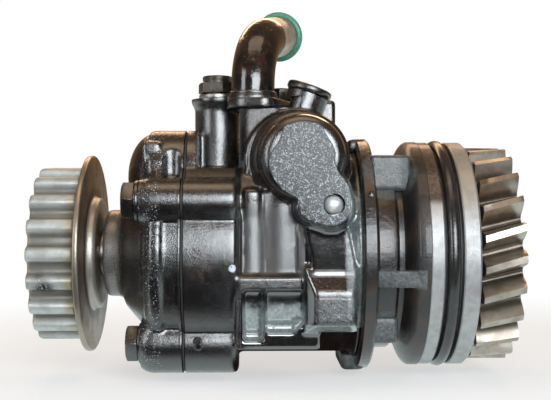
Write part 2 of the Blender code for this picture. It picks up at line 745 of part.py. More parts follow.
def housing_bores():
    """Every bore and threaded hole of the housing."""
    shaft_line = turned("cut_shaft_line", [
        (PILOT_END + 1.0, 0.0), (PILOT_END + 1.0, REAR_SEAL_R + SEAT),
        (REAR_SEAL_FRONT, REAR_SEAL_R + SEAT),
        (REAR_SEAL_FRONT, REAR_JOURNAL_R + RUN), (PACK_BACK, REAR_JOURNAL_R + RUN),
        (PACK_BACK, PACK_R + SEAT),
        (HOUSING_FRONT - 1.0, PACK_R + SEAT), (HOUSING_FRONT - 1.0, 0.0),
    ], frame(), steps=SIDES_BODY - 8)
    valve = turned("cut_valve_bore", [
        (VALVE_FAR_Y + 1.0, 0.0), (VALVE_FAR_Y + 1.0, VALVE_PLUG_R + SEAT),
        (PLUG_INNER_Y + 2.0, VALVE_PLUG_R + SEAT), (PLUG_INNER_Y + 2.0, VALVE_BORE_R),
        (VALVE_BORE_END_Y, VALVE_BORE_R), (VALVE_BORE_END_Y, 0.0),
    ], frame(VALVE_X, 0.0, VALVE_Z, axis="Y"), steps=SIDES_MID)
    seal_depth = 2 * BASE_O_RING_WIRE - SEAT
    suction = turned("cut_suction_bore", [
        (SUCTION_TOP_Z + 1.0, 0.0), (SUCTION_TOP_Z + 1.0, BASE_SEAL_R),
        (SUCTION_TOP_Z - seal_depth, BASE_SEAL_R),
        (SUCTION_TOP_Z - seal_depth, PASSAGE_R), (SHELF_Z + 1.2, PASSAGE_R), (SHELF_Z + 1.2, 0.0),
    ], frame(PASSAGE_X, PASSAGE_Y, axis="Z"))
    tilted = frame(TILT_X, TILT_Y, TILT_Z, axis="Z", tilt=TILT_ANGLE)
    holes = [
        shaft_line, valve, suction,
        rod("cut_pressure_thread", frame(PORT_X, PORT_Y, axis="Z"), PORT_TOP_Z - PORT_PLUG_REACH - 1.0,
            PORT_TOP_Z + 1.0, PORT_PLUG_R + SEAT),
        rod("cut_plate_thread", frame(PLATE_BOLT_X, PLATE_BOLT_Y, axis="Z"),
            SUCTION_TOP_Z - PLATE_BOLT_REACH,
            SUCTION_TOP_Z + 1.0, PLATE_BOLT_R + SEAT, sides=SIDES_TINY),
        rod("cut_tilted_thread", tilted, -TILT_HEAD_THICK / 2 - TILT_THREAD_LENGTH - 1.0, 2.0,
            TILT_THREAD_R + SEAT),
        rod("cut_ball_seat", frame(LOBE_X, 0.0, LOBE_Z, axis="Y"), VALVE_NEAR_Y - 1.0,
            VALVE_NEAR_Y + BALL_PLUG_SINK + 2 * BALL_PLUG_R + SEAT, BALL_PLUG_R + SEAT),
    ]
    for index, (y, z, _) in enumerate(bolt_places(), start=1):
        holes.append(rod(f"cut_bolt_hole_{index}", frame(y=y, z=z), HOUSING_FRONT - 1.0,
                         HOUSING_FRONT + BOLT_REACH + 1.0, BOLT_R + SEAT, sides=SIDES_TINY))
    return holes


def make_cover():
    """The front cover: a domed casting with the seal neck, four bosses and a raised top."""
    band_back = COVER_BACK - COVER_RIM_WIDTH
    band_front = band_back - COVER_BAND_WIDTH
    band_r = HOUSING_LARGE_R - COVER_BAND_DEPTH
    cover = turned("front_cover", [
        (COVER_BACK, 0.0), (COVER_BACK, HOUSING_LARGE_R), (band_back, HOUSING_LARGE_R),
        (band_back - 0.4, band_r),
        (band_front, band_r), (band_front - 0.5, HOUSING_LARGE_R),
        (COVER_FACE + 3.4, HOUSING_LARGE_R - 0.5),
        (COVER_FACE + 1.0, HOUSING_LARGE_R - 3.2), (COVER_FACE, HOUSING_LARGE_R - 7.0),
        (COVER_FACE - 0.8, NOSE_R + 12.0), (COVER_FACE - 2.8, NOSE_R + 9.8),
        (COVER_FACE - 5.4, NOSE_R + 7.0),
        (NOSE_FRONT + 7.3, NOSE_R + 3.4), (NOSE_FRONT + 6.4, NOSE_R + 0.8), (NOSE_FRONT + 5.4, NOSE_R),
        (NOSE_FRONT + 1.4, NOSE_R), (NOSE_FRONT + 0.4, NOSE_R - 0.5), (NOSE_FRONT, NOSE_R - 1.5),
        (NOSE_FRONT, 0.0),
    ], frame(), BLACK_PAINT, SIDES_BODY)
    join(cover, *cover_bosses(), *cover_top())
    cut(cover, cover_pocket(), *cover_bores())
    return cover


def cover_bosses():
    """Bolt bosses of the cover with a turned spotface on each."""
    shapes = []
    for index, (y, z, radius) in enumerate(bolt_places(), start=1):
        shapes.append(turned(f"add_cover_boss_{index}", [
            (COVER_BACK, 0.0), (COVER_BACK, radius), (COVER_FACE + 2.4, radius),
            (COVER_FACE + 0.7, radius - 0.5),
            (COVER_FACE, min(radius, SPOTFACE_R) - 0.7), (BOSS_FACE - 0.3, min(radius, SPOTFACE_R) - 0.9),
            (BOSS_FACE - 0.3, 0.0),
        ], frame(y=y, z=z), steps=SIDES_MID))
    return shapes


def cover_top():
    """Raised top of the cover: lug, the pad on its near side and the dome in front of it."""
    lug = turned("add_cover_lug", [
        (COVER_BACK, 0.0), (COVER_BACK, TOP_LUG_R), (COVER_FACE + 1.5, TOP_LUG_R),
        (COVER_FACE, TOP_LUG_R - 1.5),
        (COVER_FACE, 0.0),
    ], frame(y=TOP_LUG_Y, z=TOP_LUG_Z), steps=SIDES_MID)
    dome = turned("add_cover_dome", [
        (COVER_FACE + 4.0, 0.0), (COVER_FACE + 4.0, DOME_R),
        *[(COVER_FACE + 1.0 - DOME_REACH * math.sin(angle), DOME_R * math.cos(angle))
          for angle in (math.radians(degrees) for degrees in (0, 20, 40, 58, 74))],
        (COVER_FACE + 1.0 - DOME_REACH, 0.0),
    ], frame(y=DOME_Y, z=TOP_LUG_Z), steps=SIDES_MID)
    pad = block("add_cover_pad", (COVER_FACE - 1.2, TOP_LUG_Y - 14.5, TOP_LUG_Z - 1.0),
                (COVER_FACE + 5.4, TOP_LUG_Y + 6.0, TOP_LUG_Z + 12.0), bevel=1.2)
    return [lug, dome, pad]


def cover_pocket():
    """The hollow between the pad and the rim of the cover."""
    return block("cut_cover_pocket", (COVER_FACE + 6.2, TOP_LUG_Y - 24.0, TOP_LUG_Z - 0.6),
                 (COVER_BACK - COVER_RIM_WIDTH, TOP_LUG_Y - 8.6, TOP_LUG_Z + 18.0), bevel=1.2)


def cover_bores():
    """Bush bore, seal pocket and bolt holes of the cover."""
    bush_r = FRONT_JOURNAL_R + RUN + BUSH_WALL
    bush_end = COVER_BACK - BUSH_LENGTH - 2 * SEAT
    shaft_line = turned("cut_cover_shaft_line", [
        (COVER_BACK + 1.0, 0.0), (COVER_BACK + 1.0, bush_r + SEAT), (bush_end, bush_r + SEAT),
        (bush_end, FRONT_JOURNAL_R + RUN), (SEAL_BACK + SEAT, FRONT_JOURNAL_R + RUN),
        (SEAL_BACK + SEAT, SEAL_R + SEAT), (NOSE_FRONT - 1.0, SEAL_R + SEAT), (NOSE_FRONT - 1.0, 0.0),
    ], frame(), steps=SIDES_MID)
    holes = [shaft_line]
    for index, (y, z, _) in enumerate(bolt_places(), start=1):
        place = frame(y=y, z=z)
        holes.append(rod(f"cut_spotface_{index}", place, NOSE_FRONT, BOSS_FACE, SPOTFACE_R))
        holes.append(rod(f"cut_cover_bolt_hole_{index}", place, BOSS_FACE - 1.0, COVER_BACK + 1.0,
                         BOLT_R + SEAT,
                         sides=SIDES_TINY))
    return holes


def make_gasket():
    """Thin gasket between the cover and the housing, cut to the outline of both."""
    inner = PACK_R + 2 * SEAT + 0.6
    gasket = rod("cover_gasket", frame(), GASKET_FRONT, GASKET_BACK, HOUSING_LARGE_R - 0.4, FIBRE,
                 SIDES_MID)
    join(gasket, rod("add_gasket_top", frame(y=TOP_LUG_Y, z=TOP_LUG_Z), GASKET_FRONT, GASKET_BACK,
                     TOP_LUG_R - 0.5))
    for index, (y, z, radius) in enumerate(bolt_places(), start=1):
        place = frame(y=y, z=z)
        join(gasket, rod(f"add_gasket_tab_{index}", place, GASKET_FRONT, GASKET_BACK, radius - 0.5))
        cut(gasket, rod(f"cut_gasket_hole_{index}", place, GASKET_FRONT - 1.0, GASKET_BACK + 1.0,
                        BOLT_R + SEAT,
                        sides=SIDES_TINY))
    cut(gasket, rod("cut_gasket_middle", frame(), GASKET_FRONT - 1.0, GASKET_BACK + 1.0, inner,
                    sides=SIDES_MID))
    return gasket


def make_cover_bolts():
    """Four hex bolts, each with its washer."""
    for index, (y, z, _) in enumerate(bolt_places(), start=1):
        place = frame(y=y, z=z)
        bolt = hex_bar(f"cover_bolt_{index}", place, HEAD_BACK - BOLT_HEAD_THICK, HEAD_BACK,
                       BOLT_HEAD_FLATS,
                       DARK_STEEL, turn=math.radians(24.0))
        join(bolt, rod(f"add_bolt_shank_{index}", place, HEAD_BACK - 1.0, HOUSING_FRONT + BOLT_REACH,
                       BOLT_R,
                       sides=SIDES_TINY))
        turned(f"cover_washer_{index}", [
            (WASHER_FRONT + WASHER_THICK, WASHER_R), (WASHER_FRONT, WASHER_R),
            (WASHER_FRONT, BOLT_R + SEAT),
            (WASHER_FRONT + WASHER_THICK, BOLT_R + SEAT),
        ], place, DARK_STEEL, SIDES_SMALL - 2)


def make_carrier():
    """The drive end carrier: mounting flange, neck and spigot turned and cast in one piece."""
    rim_end = SPIGOT_START + RIM_WIDTH
    groove_end = rim_end + O_RING_GROOVE_WIDTH
    groove_r = SPIGOT_R - O_RING_GROOVE_DEPTH
    cast_start = SPIGOT_START - SPIGOT_CAST_WIDTH
    bore_r = BEARING_OUTER_R + SEAT
    clip_start = BEARING_END + SEAT / 2
    clip_end = clip_start + CIRCLIP_THICK + 2 * SEAT
    carrier = turned("drive_end_carrier", [
        (SPIGOT_END, SPIGOT_R - 0.7), (SPIGOT_END - 0.7, SPIGOT_R), (groove_end + 0.4, SPIGOT_R),
        (groove_end, SPIGOT_R - 0.4), (groove_end, groove_r), (rim_end, groove_r),
        (rim_end, SPIGOT_R - 0.4),
        (rim_end - 0.4, SPIGOT_R), (SPIGOT_START, SPIGOT_R), (SPIGOT_START - 0.2, SPIGOT_R + 0.3),
        (cast_start, SPIGOT_R + 0.2), (cast_start - 1.8, SPIGOT_R - 1.5),
        (cast_start - 3.1, SPIGOT_R - 4.5),
        (cast_start - 4.0, NECK_R - NECK_GROOVE_DEPTH),
        (NECK_BARREL_LENGTH + 0.8, NECK_R - NECK_GROOVE_DEPTH), (NECK_BARREL_LENGTH, NECK_R), (0.0, NECK_R),
        (0.0, FLANGE_R - 0.5), (-0.5, FLANGE_R), (0.5 - FLANGE_THICK, FLANGE_R),
        (-FLANGE_THICK, FLANGE_R - 0.5), (-FLANGE_THICK, PILOT_R + SEAT),
        (PILOT_END + SEAT, PILOT_R + SEAT), (PILOT_END + SEAT, CARRIER_BORE_R),
        (BEARING_START - SEAT, CARRIER_BORE_R), (BEARING_START - SEAT, bore_r), (clip_start, bore_r),
        (clip_start, bore_r + CIRCLIP_GROOVE), (clip_end, bore_r + CIRCLIP_GROOVE), (clip_end, bore_r),
        (SPIGOT_END - 0.8, bore_r), (SPIGOT_END, bore_r + 0.8),
    ], frame(), CAST_METAL, SIDES_BODY)
    join(carrier, *carrier_forms())
    return carrier


def carrier_forms():
    """Ears of the flange, and the pads and rib cast on the neck."""
    ear_low = HOUSING_R + 0.6
    forms = []
    for name, side, reach in (("top", 1.0, TOP_EAR_REACH), ("bottom", -1.0, BOTTOM_EAR_REACH)):
        bounds = sorted((side * ear_low, side * (FLANGE_R - 0.6)))
        forms.append(block(f"add_ear_{name}", (-FLANGE_THICK - reach, -EAR_WIDTH / 2, bounds[0]),
                           (-FLANGE_THICK + 1.0, EAR_WIDTH / 2, bounds[1]), bevel=1.4))
    pad_start = 1.4
    forms.append(block("add_neck_pad", (pad_start - 2.6, PAD_NEAR_Y, PAD_TOP_Z - PAD_HEIGHT),
                       (pad_start + PAD_LENGTH, -11.0, PAD_TOP_Z), bevel=1.0))
    forms.append(block("add_neck_rib", (-1.0, -NECK_R - 1.0, -9.4),
                       (SPIGOT_START - 1.6, -BEARING_OUTER_R - 3.0, -4.2),
                       bevel=1.2))
    forms.append(block("add_lower_pad", (2.8, -NECK_R + 4.8, -31.0), (11.8, -16.0, -21.5), bevel=1.2))
    return forms


def make_spigot_o_ring():
    """Black O-ring in the spigot's groove."""
    middle = SPIGOT_START + RIM_WIDTH + O_RING_GROOVE_WIDTH / 2
    centre_r = SPIGOT_R - O_RING_GROOVE_DEPTH + SEAT + SPIGOT_O_RING_WIRE
    turned("spigot_o_ring", torus_outline(middle, centre_r, SPIGOT_O_RING_WIRE, 8), frame(), BLACK_RUBBER,
           SIDES_BODY - 8)


def make_shaft():
    """The pump shaft, stepped from the drive gear down to the coupling thread."""
    collar_front = BEARING_START - SEAT - COLLAR_WIDTH
    shaft = turned("drive_shaft", [
        (SHAFT_END, 0.0), (SHAFT_END, GEAR_THREAD_R - 0.8), (SHAFT_END - 0.8, GEAR_THREAD_R),
        (GEAR_WEB_END - 0.5, GEAR_THREAD_R), (GEAR_WEB_END - 0.5, GEAR_SEAT_R), (BEARING_END, GEAR_SEAT_R),
        (BEARING_END, BEARING_BORE_R), (BEARING_START - SEAT, BEARING_BORE_R),
        (BEARING_START - SEAT, COLLAR_R),
        (collar_front, COLLAR_R), (collar_front, SEAL_LAND_R), (REAR_SEAL_FRONT + 1.0, SEAL_LAND_R),
        (REAR_SEAL_FRONT + SEAT, REAR_JOURNAL_R), (CAM_BACK, REAR_JOURNAL_R), (CAM_BACK, ROTOR_SEAT_R),
        (CAM_FRONT, ROTOR_SEAT_R), (CAM_FRONT, FRONT_JOURNAL_R), (SHAFT_SHOULDER, FRONT_JOURNAL_R),
        (SHAFT_SHOULDER, HUB_SEAT_R), (HUB_WEB_FRONT + 0.4, HUB_SEAT_R),
        (HUB_WEB_FRONT + 0.4, HUB_THREAD_R),
        (COUPLING_NUT_FRONT - THREAD_OVERHANG + 0.7, HUB_THREAD_R),
        (COUPLING_NUT_FRONT - THREAD_OVERHANG, HUB_THREAD_R - 0.7),
        (COUPLING_NUT_FRONT - THREAD_OVERHANG, 0.0),
    ], frame(), BRIGHT_STEEL, SIDES_SMALL + 4)
    key_low, key_high = key_span()
    cut(shaft, block("cut_shaft_keyway", (key_low - SEAT, -KEY_WIDTH / 2 - SEAT,
                                          GEAR_SEAT_R - KEY_RISE - SEAT),
                     (key_high + SEAT, KEY_WIDTH / 2 + SEAT, GEAR_SEAT_R + KEY_RISE)))
    return shaft


def key_span():
    """Where the gear key starts and ends along the shaft."""
    middle = (BEARING_END + GEAR_WEB_END) / 2
    return middle - KEY_LENGTH / 2, middle + KEY_LENGTH / 2


def make_gear_key():
    """Parallel key between the shaft and the drive gear."""
    key_low, key_high = key_span()
    block("gear_key", (key_low, -KEY_WIDTH / 2, GEAR_SEAT_R - KEY_RISE),
          (key_high, KEY_WIDTH / 2, GEAR_SEAT_R + KEY_RISE),
          BRIGHT_STEEL)


def gear_outline():
    """Involute teeth of the drive gear in its transverse plane, one of them on the near side."""
    pitch_r = GEAR_TEETH * GEAR_MODULE / math.cos(GEAR_HELIX) / 2
    pressure = math.atan(math.tan(GEAR_PRESSURE) / math.cos(GEAR_HELIX))
    base_r = pitch_r * math.cos(pressure)
    tip_r = pitch_r + GEAR_MODULE
    root_r = pitch_r - 1.25 * GEAR_MODULE
    at_pitch = math.pi / 2 / GEAR_TEETH + math.tan(pressure) - pressure
    flank = [(root_r, at_pitch * 1.25)]
    for share in (0.0, 0.45, 1.0):
        radius = base_r + (tip_r - base_r) * share
        roll = math.acos(min(1.0, base_r / radius))
        flank.append((radius, at_pitch - math.tan(roll) + roll))
    points = []
    for tooth in range(GEAR_TEETH):
        middle = -math.pi / 2 + 2 * math.pi * tooth / GEAR_TEETH
        tooth_points = [(radius, middle - half) for radius, half in flank]
        tooth_points += [(radius, middle + half) for radius, half in reversed(flank)]
        points += [(radius * math.cos(angle), radius * math.sin(angle)) for radius, angle in tooth_points]
    return points, pitch_r


def make_drive_gear():
    """Helical gear with a bored hub, a keyway and a recess for the nut."""
    outline, pitch_r = gear_outline()
    twist = math.tan(GEAR_HELIX) / pitch_r
    sections = []
    for share in (0.0, 1.0):
        along = GEAR_START + GEAR_WIDTH * share
        sections.append((along, turned_points(outline, twist * (GEAR_END - along))))
    gear = loft("drive_gear", sections, frame(), BRIGHT_STEEL)
    join(gear, turned("add_gear_boss", [
        (GEAR_START + 1.0, 0.0), (GEAR_START + 1.0, GEAR_BOSS_R), (BEARING_END + SEAT, GEAR_BOSS_R),
        (BEARING_END + SEAT, 0.0),
    ], frame(), steps=SIDES_SMALL + 4))
    key_low = key_span()[0]
    cut(gear, rod("cut_gear_recess", frame(), GEAR_WEB_END, GEAR_END + 1.0, GEAR_RECESS_R, sides=SIDES_MID),
        rod("cut_gear_bore", frame(), BEARING_END - 1.0, GEAR_WEB_END + 1.0, GEAR_SEAT_R + SEAT),
        block("cut_gear_keyway", (key_low - SEAT, -KEY_WIDTH / 2 - SEAT, 0.0),
              (GEAR_WEB_END + 1.1, KEY_WIDTH / 2 + SEAT, GEAR_SEAT_R + KEY_RISE + SEAT)))
    return gear


def make_gear_nut():
    """Washer and nut that hold the drive gear."""
    washer_back = GEAR_WEB_END + SEAT
    turned("gear_washer", ring_outline(GEAR_WASHER_END, washer_back, GEAR_WASHER_R, GEAR_THREAD_R + SEAT),
           frame(),
           DARK_STEEL, SIDES_SMALL)
    nut = hex_bar("gear_nut", frame() @ Matrix.Rotation(math.pi, 4, "X"), -SHAFT_END,
                  -GEAR_WASHER_END - SEAT,
                  GEAR_NUT_FLATS, DARK_STEEL)
    cut(nut, rod("cut_gear_nut_bore", frame(), GEAR_WASHER_END - 1.0, SHAFT_END + 1.0,
                 GEAR_THREAD_R + SEAT))


def make_bearing():
    """Deep groove ball bearing of the drive end, with its circlip."""
    middle = BEARING_MIDDLE
    race_r = BALL_R + RUN
    race_half = math.radians(38.0)
    outer_inner_r = BALL_CIRCLE_R + race_r * math.cos(race_half)
    inner_outer_r = BALL_CIRCLE_R - race_r * math.cos(race_half)
    outer_race = arc(middle, BALL_CIRCLE_R, race_r, math.pi / 2 + race_half, math.pi / 2 - race_half, 5)
    turned("bearing_outer_ring", [
        (BEARING_END, BEARING_OUTER_R - 0.6), (BEARING_END - 0.6, BEARING_OUTER_R),
        (BEARING_START + 0.6, BEARING_OUTER_R), (BEARING_START, BEARING_OUTER_R - 0.6),
        (BEARING_START, outer_inner_r), *outer_race, (BEARING_END, outer_inner_r),
    ], frame(), BRIGHT_STEEL, SIDES_MID)
    inner_race = arc(middle, BALL_CIRCLE_R, race_r, -math.pi / 2 + race_half, -math.pi / 2 - race_half, 5)
    turned("bearing_inner_ring", [
        (BEARING_END, inner_outer_r), *inner_race, (BEARING_START, inner_outer_r),
        (BEARING_START, BEARING_BORE_R + SEAT), (BEARING_END, BEARING_BORE_R + SEAT),
    ], frame(), BRIGHT_STEEL, SIDES_SMALL + 4)
    cage = turned("bearing_cage", [
        (middle + CAGE_WIDTH / 2, BALL_CIRCLE_R + CAGE_WALL / 2),
        (middle - CAGE_WIDTH / 2, BALL_CIRCLE_R + CAGE_WALL / 2),
        (middle - CAGE_WIDTH / 2, BALL_CIRCLE_R - CAGE_WALL / 2),
        (middle + CAGE_WIDTH / 2, BALL_CIRCLE_R - CAGE_WALL / 2),
    ], frame(), BRONZE, SIDES_MID + 4)
    for index in range(BALL_COUNT):
        angle = 2 * math.pi * (index + 0.25) / BALL_COUNT
        join(cage, ball(f"add_ball_{index + 1}", frame(middle, BALL_CIRCLE_R * math.cos(angle),
                                                      BALL_CIRCLE_R * math.sin(angle)), BALL_R, 7))
    clip_start = BEARING_END + SEAT / 2 + SEAT
    clip_outer = BEARING_OUTER_R + CIRCLIP_GROOVE
    clip = turned("bearing_circlip", [
        (clip_start + CIRCLIP_THICK, clip_outer), (clip_start, clip_outer),
        (clip_start, clip_outer - CIRCLIP_DEPTH),
        (clip_start + CIRCLIP_THICK, clip_outer - CIRCLIP_DEPTH),
    ], frame(), DARK_STEEL, SIDES_MID)
    cut(clip, block("cut_circlip_gap", (clip_start - 1.0, -4.5, -clip_outer - 2.0),
                    (clip_start + CIRCLIP_THICK + 1.0, 4.5, -clip_outer / 2)))


def ball(name, matrix, radius, sides, finish=None):
    """A sphere with its poles along the frame's axis."""
    bm = bmesh.new()
    bmesh.ops.create_uvsphere(bm, u_segments=sides, v_segments=sides - 2, radius=radius)
    return add_object(name, mesh_from(bm, name), matrix, finish)


def make_seals_and_bush():
    """Front bush and the two shaft seals."""
    bush_outer = FRONT_JOURNAL_R + RUN + BUSH_WALL
    bush_back = COVER_BACK - SEAT
    turned("shaft_bush", [
        (bush_back, bush_outer), (bush_back - BUSH_LENGTH, bush_outer),
        (bush_back - BUSH_LENGTH, FRONT_JOURNAL_R + RUN),
        (bush_back, FRONT_JOURNAL_R + RUN),
    ], frame(), BRONZE, SIDES_SMALL + 4)
    front = NOSE_FRONT + 0.5
    seal_inner = FRONT_JOURNAL_R + RUN
    turned("front_shaft_seal", [
        (SEAL_BACK, SEAL_R), (front + 0.5, SEAL_R), (front, SEAL_R - 0.5), (front, seal_inner + 0.9),
        (front + 1.0, seal_inner), (front + 2.4, seal_inner + 0.6), (front + 2.8, seal_inner + 2.4),
        (SEAL_BACK, seal_inner + 2.4),
    ], frame(), BLACK_RUBBER, SIDES_MID)
    back = REAR_SEAL_FRONT + SEAT + REAR_SEAL_WIDTH
    rear_inner = SEAL_LAND_R + RUN
    start = REAR_SEAL_FRONT + SEAT
    turned("rear_shaft_seal", [
        (back, REAR_SEAL_R), (start, REAR_SEAL_R), (start, rear_inner + 2.0),
        (back - 2.6, rear_inner + 2.0),
        (back - 2.2, rear_inner + 0.5), (back - 0.9, rear_inner), (back, rear_inner + 0.8),
    ], frame(), BLACK_RUBBER, SIDES_MID)


def pin_holes(label, start, end):
    """Holes for the two locating pins."""
    return [rod(f"cut_{label}_pin_hole_{index}", frame(z=z), start - 1.0, end + 1.0, PIN_R + SEAT,
                sides=SIDES_TINY)
            for index, z in enumerate((PIN_CIRCLE_R, -PIN_CIRCLE_R), start=1)]


def make_pump_pack():
    """Cam ring, pressure plates and locating pins."""
    count = SIDES_MID + 4
    middle_r, swell = (CAM_SMALL_R + CAM_LARGE_R) / 2, (CAM_LARGE_R - CAM_SMALL_R) / 2
    cam_points = []
    for index in range(count):
        angle = 2 * math.pi * index / count
        radius = middle_r - swell * math.cos(2 * angle)
        cam_points.append((radius * math.cos(angle), radius * math.sin(angle)))
    cam_ring = rod("cam_ring", frame(), CAM_FRONT, CAM_BACK, PACK_R, BRIGHT_STEEL, SIDES_MID)
    cut(cam_ring, loft("cut_cam_track", [(CAM_FRONT - 1.0, cam_points), (CAM_BACK + 1.0, cam_points)],
                       frame()),
        *pin_holes("cam", CAM_FRONT, CAM_BACK))
    plates = (("front_pressure_plate", FRONT_PLATE_FRONT, FRONT_PLATE_BACK, FRONT_JOURNAL_R),
              ("rear_pressure_plate", REAR_PLATE_FRONT, REAR_PLATE_BACK, REAR_JOURNAL_R))
    for name, start, end, journal in plates:
        plate = rod(name, frame(), start, end, PACK_R, CAST_METAL, SIDES_MID)
        cut(plate, rod(f"cut_{name}_bore", frame(), start - 1.0, end + 1.0, journal + RUN),
            *pin_holes(name, start, end))
        for index, angle in enumerate((math.radians(45), math.radians(135), math.radians(225),
                                       math.radians(315))):
            place = frame(y=PORT_HOLE_CIRCLE_R * math.cos(angle), z=PORT_HOLE_CIRCLE_R * math.sin(angle))
            cut(plate, rod(f"cut_{name}_port_{index + 1}", place, start - 1.0, end + 1.0, PORT_HOLE_R,
                           sides=10))
    for index, z in enumerate((PIN_CIRCLE_R, -PIN_CIRCLE_R), start=1):
        rod(f"locating_pin_{index}", frame(z=z), FRONT_PLATE_FRONT + 1.0, REAR_PLATE_BACK - SEAT, PIN_R,
            BRIGHT_STEEL,
            SIDES_TINY)


def make_rotor():
    """Slotted rotor with its vanes drawn in to the smallest radius of the cam."""
    slot = VANE_THICK / 2 + SEAT
    tip_r = CAM_SMALL_R - RUN
    floor_r = tip_r - VANE_DEPTH - SEAT
    pitch = 2 * math.pi / VANE_COUNT
    half_mouth = math.asin(slot / ROTOR_R)
    points = []
    for index in range(VANE_COUNT):
        middle = pitch * index
        shape = [(floor_r, -slot), (floor_r, slot), (ROTOR_R * math.cos(half_mouth), slot)]
        cosine, sine = math.cos(middle), math.sin(middle)
        mouth = (ROTOR_R * math.cos(half_mouth), -slot)
        points += [(x * cosine - y * sine, x * sine + y * cosine) for x, y in [mouth] + shape]
        for share in (0.33, 0.67):
            angle = middle + half_mouth + (pitch - 2 * half_mouth) * share
            points.append((ROTOR_R * math.cos(angle), ROTOR_R * math.sin(angle)))
    start, end = CAM_FRONT + RUN, CAM_BACK - RUN
    rotor = loft("pump_rotor", [(start, points), (end, points)], frame(), BRIGHT_STEEL)
    cut(rotor, rod("cut_rotor_bore", frame(), start - 1.0, end + 1.0, ROTOR_SEAT_R + SEAT))
    for index in range(VANE_COUNT):
        spin = frame() @ Matrix.Rotation(pitch * index, 4, "Z")
        block(f"vane_{index + 1}", (tip_r - VANE_DEPTH, -VANE_THICK / 2, start),
              (tip_r, VANE_THICK / 2, end),
              BRIGHT_STEEL, matrix=spin)


def make_valve():
    """Spool, spring and end plug of the flow control valve, and the ball that closes its drilling."""
    across = frame(VALVE_X, 0.0, VALVE_Z, axis="Y")
    turned("valve_spool", [
        (SPOOL_FAR_Y, 0.0), (SPOOL_FAR_Y, VALVE_SPOOL_R - 0.4), (SPOOL_FAR_Y - 0.4, VALVE_SPOOL_R),
        (SPOOL_FAR_Y - 9.0, VALVE_SPOOL_R), (SPOOL_FAR_Y - 9.0, VALVE_WAIST_R),
        (SPOOL_NEAR_Y + 9.0, VALVE_WAIST_R),
        (SPOOL_NEAR_Y + 9.0, VALVE_SPOOL_R), (SPOOL_NEAR_Y + 0.4, VALVE_SPOOL_R),
        (SPOOL_NEAR_Y, VALVE_SPOOL_R - 0.4),
        (SPOOL_NEAR_Y, 0.0),
    ], across, BRIGHT_STEEL, SIDES_SMALL + 4)
    coil("valve_spring", across, SPOOL_FAR_Y + SEAT + SPRING_WIRE_R, PLUG_INNER_Y - SEAT - SPRING_WIRE_R)
    groove_near, groove_far = VALVE_FAR_Y - 6.6, VALVE_FAR_Y - 3.4
    head_start = VALVE_FAR_Y + SEAT
    plug = turned("valve_end_plug", [
        (head_start + 1.0, 0.0), (head_start + 1.0, VALVE_PLUG_R), (groove_far, VALVE_PLUG_R),
        (groove_far, PLUG_GROOVE_R), (groove_near, PLUG_GROOVE_R), (groove_near, VALVE_PLUG_R),
        (PLUG_INNER_Y + 2.4, VALVE_PLUG_R), (PLUG_INNER_Y + 2.4, VALVE_SPOOL_R - 0.2),
        (PLUG_INNER_Y, VALVE_SPOOL_R - 0.2), (PLUG_INNER_Y, 0.0),
    ], across, DARK_STEEL, SIDES_SMALL + 4)
    join(plug, hex_bar("add_valve_plug_head", across @ Matrix.Rotation(math.pi, 4, "X"),
                       -head_start - VALVE_PLUG_HEAD, -head_start, VALVE_PLUG_FLATS))
    turned("valve_plug_o_ring", torus_outline((groove_near + groove_far) / 2,
                                              PLUG_GROOVE_R + SEAT + PLUG_O_RING_WIRE, PLUG_O_RING_WIRE, 6),
           across, BLACK_RUBBER, SIDES_SMALL + 4)
    ball_y = VALVE_NEAR_Y + BALL_PLUG_SINK + BALL_PLUG_R
    ball("passage_ball_plug", frame(LOBE_X, ball_y, LOBE_Z, axis="Y"), BALL_PLUG_R, 14, BRIGHT_STEEL)


def coil(name, matrix, start, end):
    """The valve spring, a helix with a round wire."""
    steps = 12 * SPRING_TURNS
    curve = bpy.data.curves.new(name, "CURVE")
    curve.dimensions = "3D"
    curve.bevel_depth = SPRING_WIRE_R * MM
    curve.bevel_resolution = 1
    curve.use_fill_caps = True
    spline = curve.splines.new("POLY")
    spline.points.add(steps)
    for index, point in enumerate(spline.points):
        angle = 2 * math.pi * index / 12
        along = start + (end - start) * index / steps
        point.co = (SPRING_R * math.cos(angle) * MM, SPRING_R * math.sin(angle) * MM, along * MM, 1.0)
    return add_object(name, curve, matrix, BRIGHT_STEEL)


def make_pressure_plug():
    """Hex screw plug of the pressure port with its sealing washer."""
    place = frame(PORT_X, PORT_Y, axis="Z")
    under_head = PORT_WASHER_TOP_Z + SEAT
    hex_top = under_head + PORT_PLUG_HEX_THICK
    plug = turned("pressure_port_plug", [
        (hex_top + PORT_PLUG_CAP_THICK, 0.0), (hex_top + PORT_PLUG_CAP_THICK, PORT_PLUG_CAP_R - 0.7),
        (hex_top + PORT_PLUG_CAP_THICK - 0.7, PORT_PLUG_CAP_R), (hex_top - 1.0, PORT_PLUG_CAP_R),
        (under_head + 0.6, PORT_PLUG_R), (PORT_TOP_Z - PORT_PLUG_REACH, PORT_PLUG_R),
        (PORT_TOP_Z - PORT_PLUG_REACH, 0.0),
    ], place, DARK_STEEL, SIDES_SMALL)
    join(plug, loft("add_port_plug_hex", [
        (under_head, hexagon(PORT_PLUG_FLATS, PORT_PLUG_TURN)),
        (hex_top, hexagon(PORT_PLUG_FLATS, PORT_PLUG_TURN)),
    ], place))
    turned("pressure_port_washer", ring_outline(PORT_WASHER_TOP_Z, PORT_TOP_Z + SEAT, PORT_WASHER_R,
                                                PORT_PLUG_R + SEAT, 0.3), place, ALLOY, SIDES_SMALL)


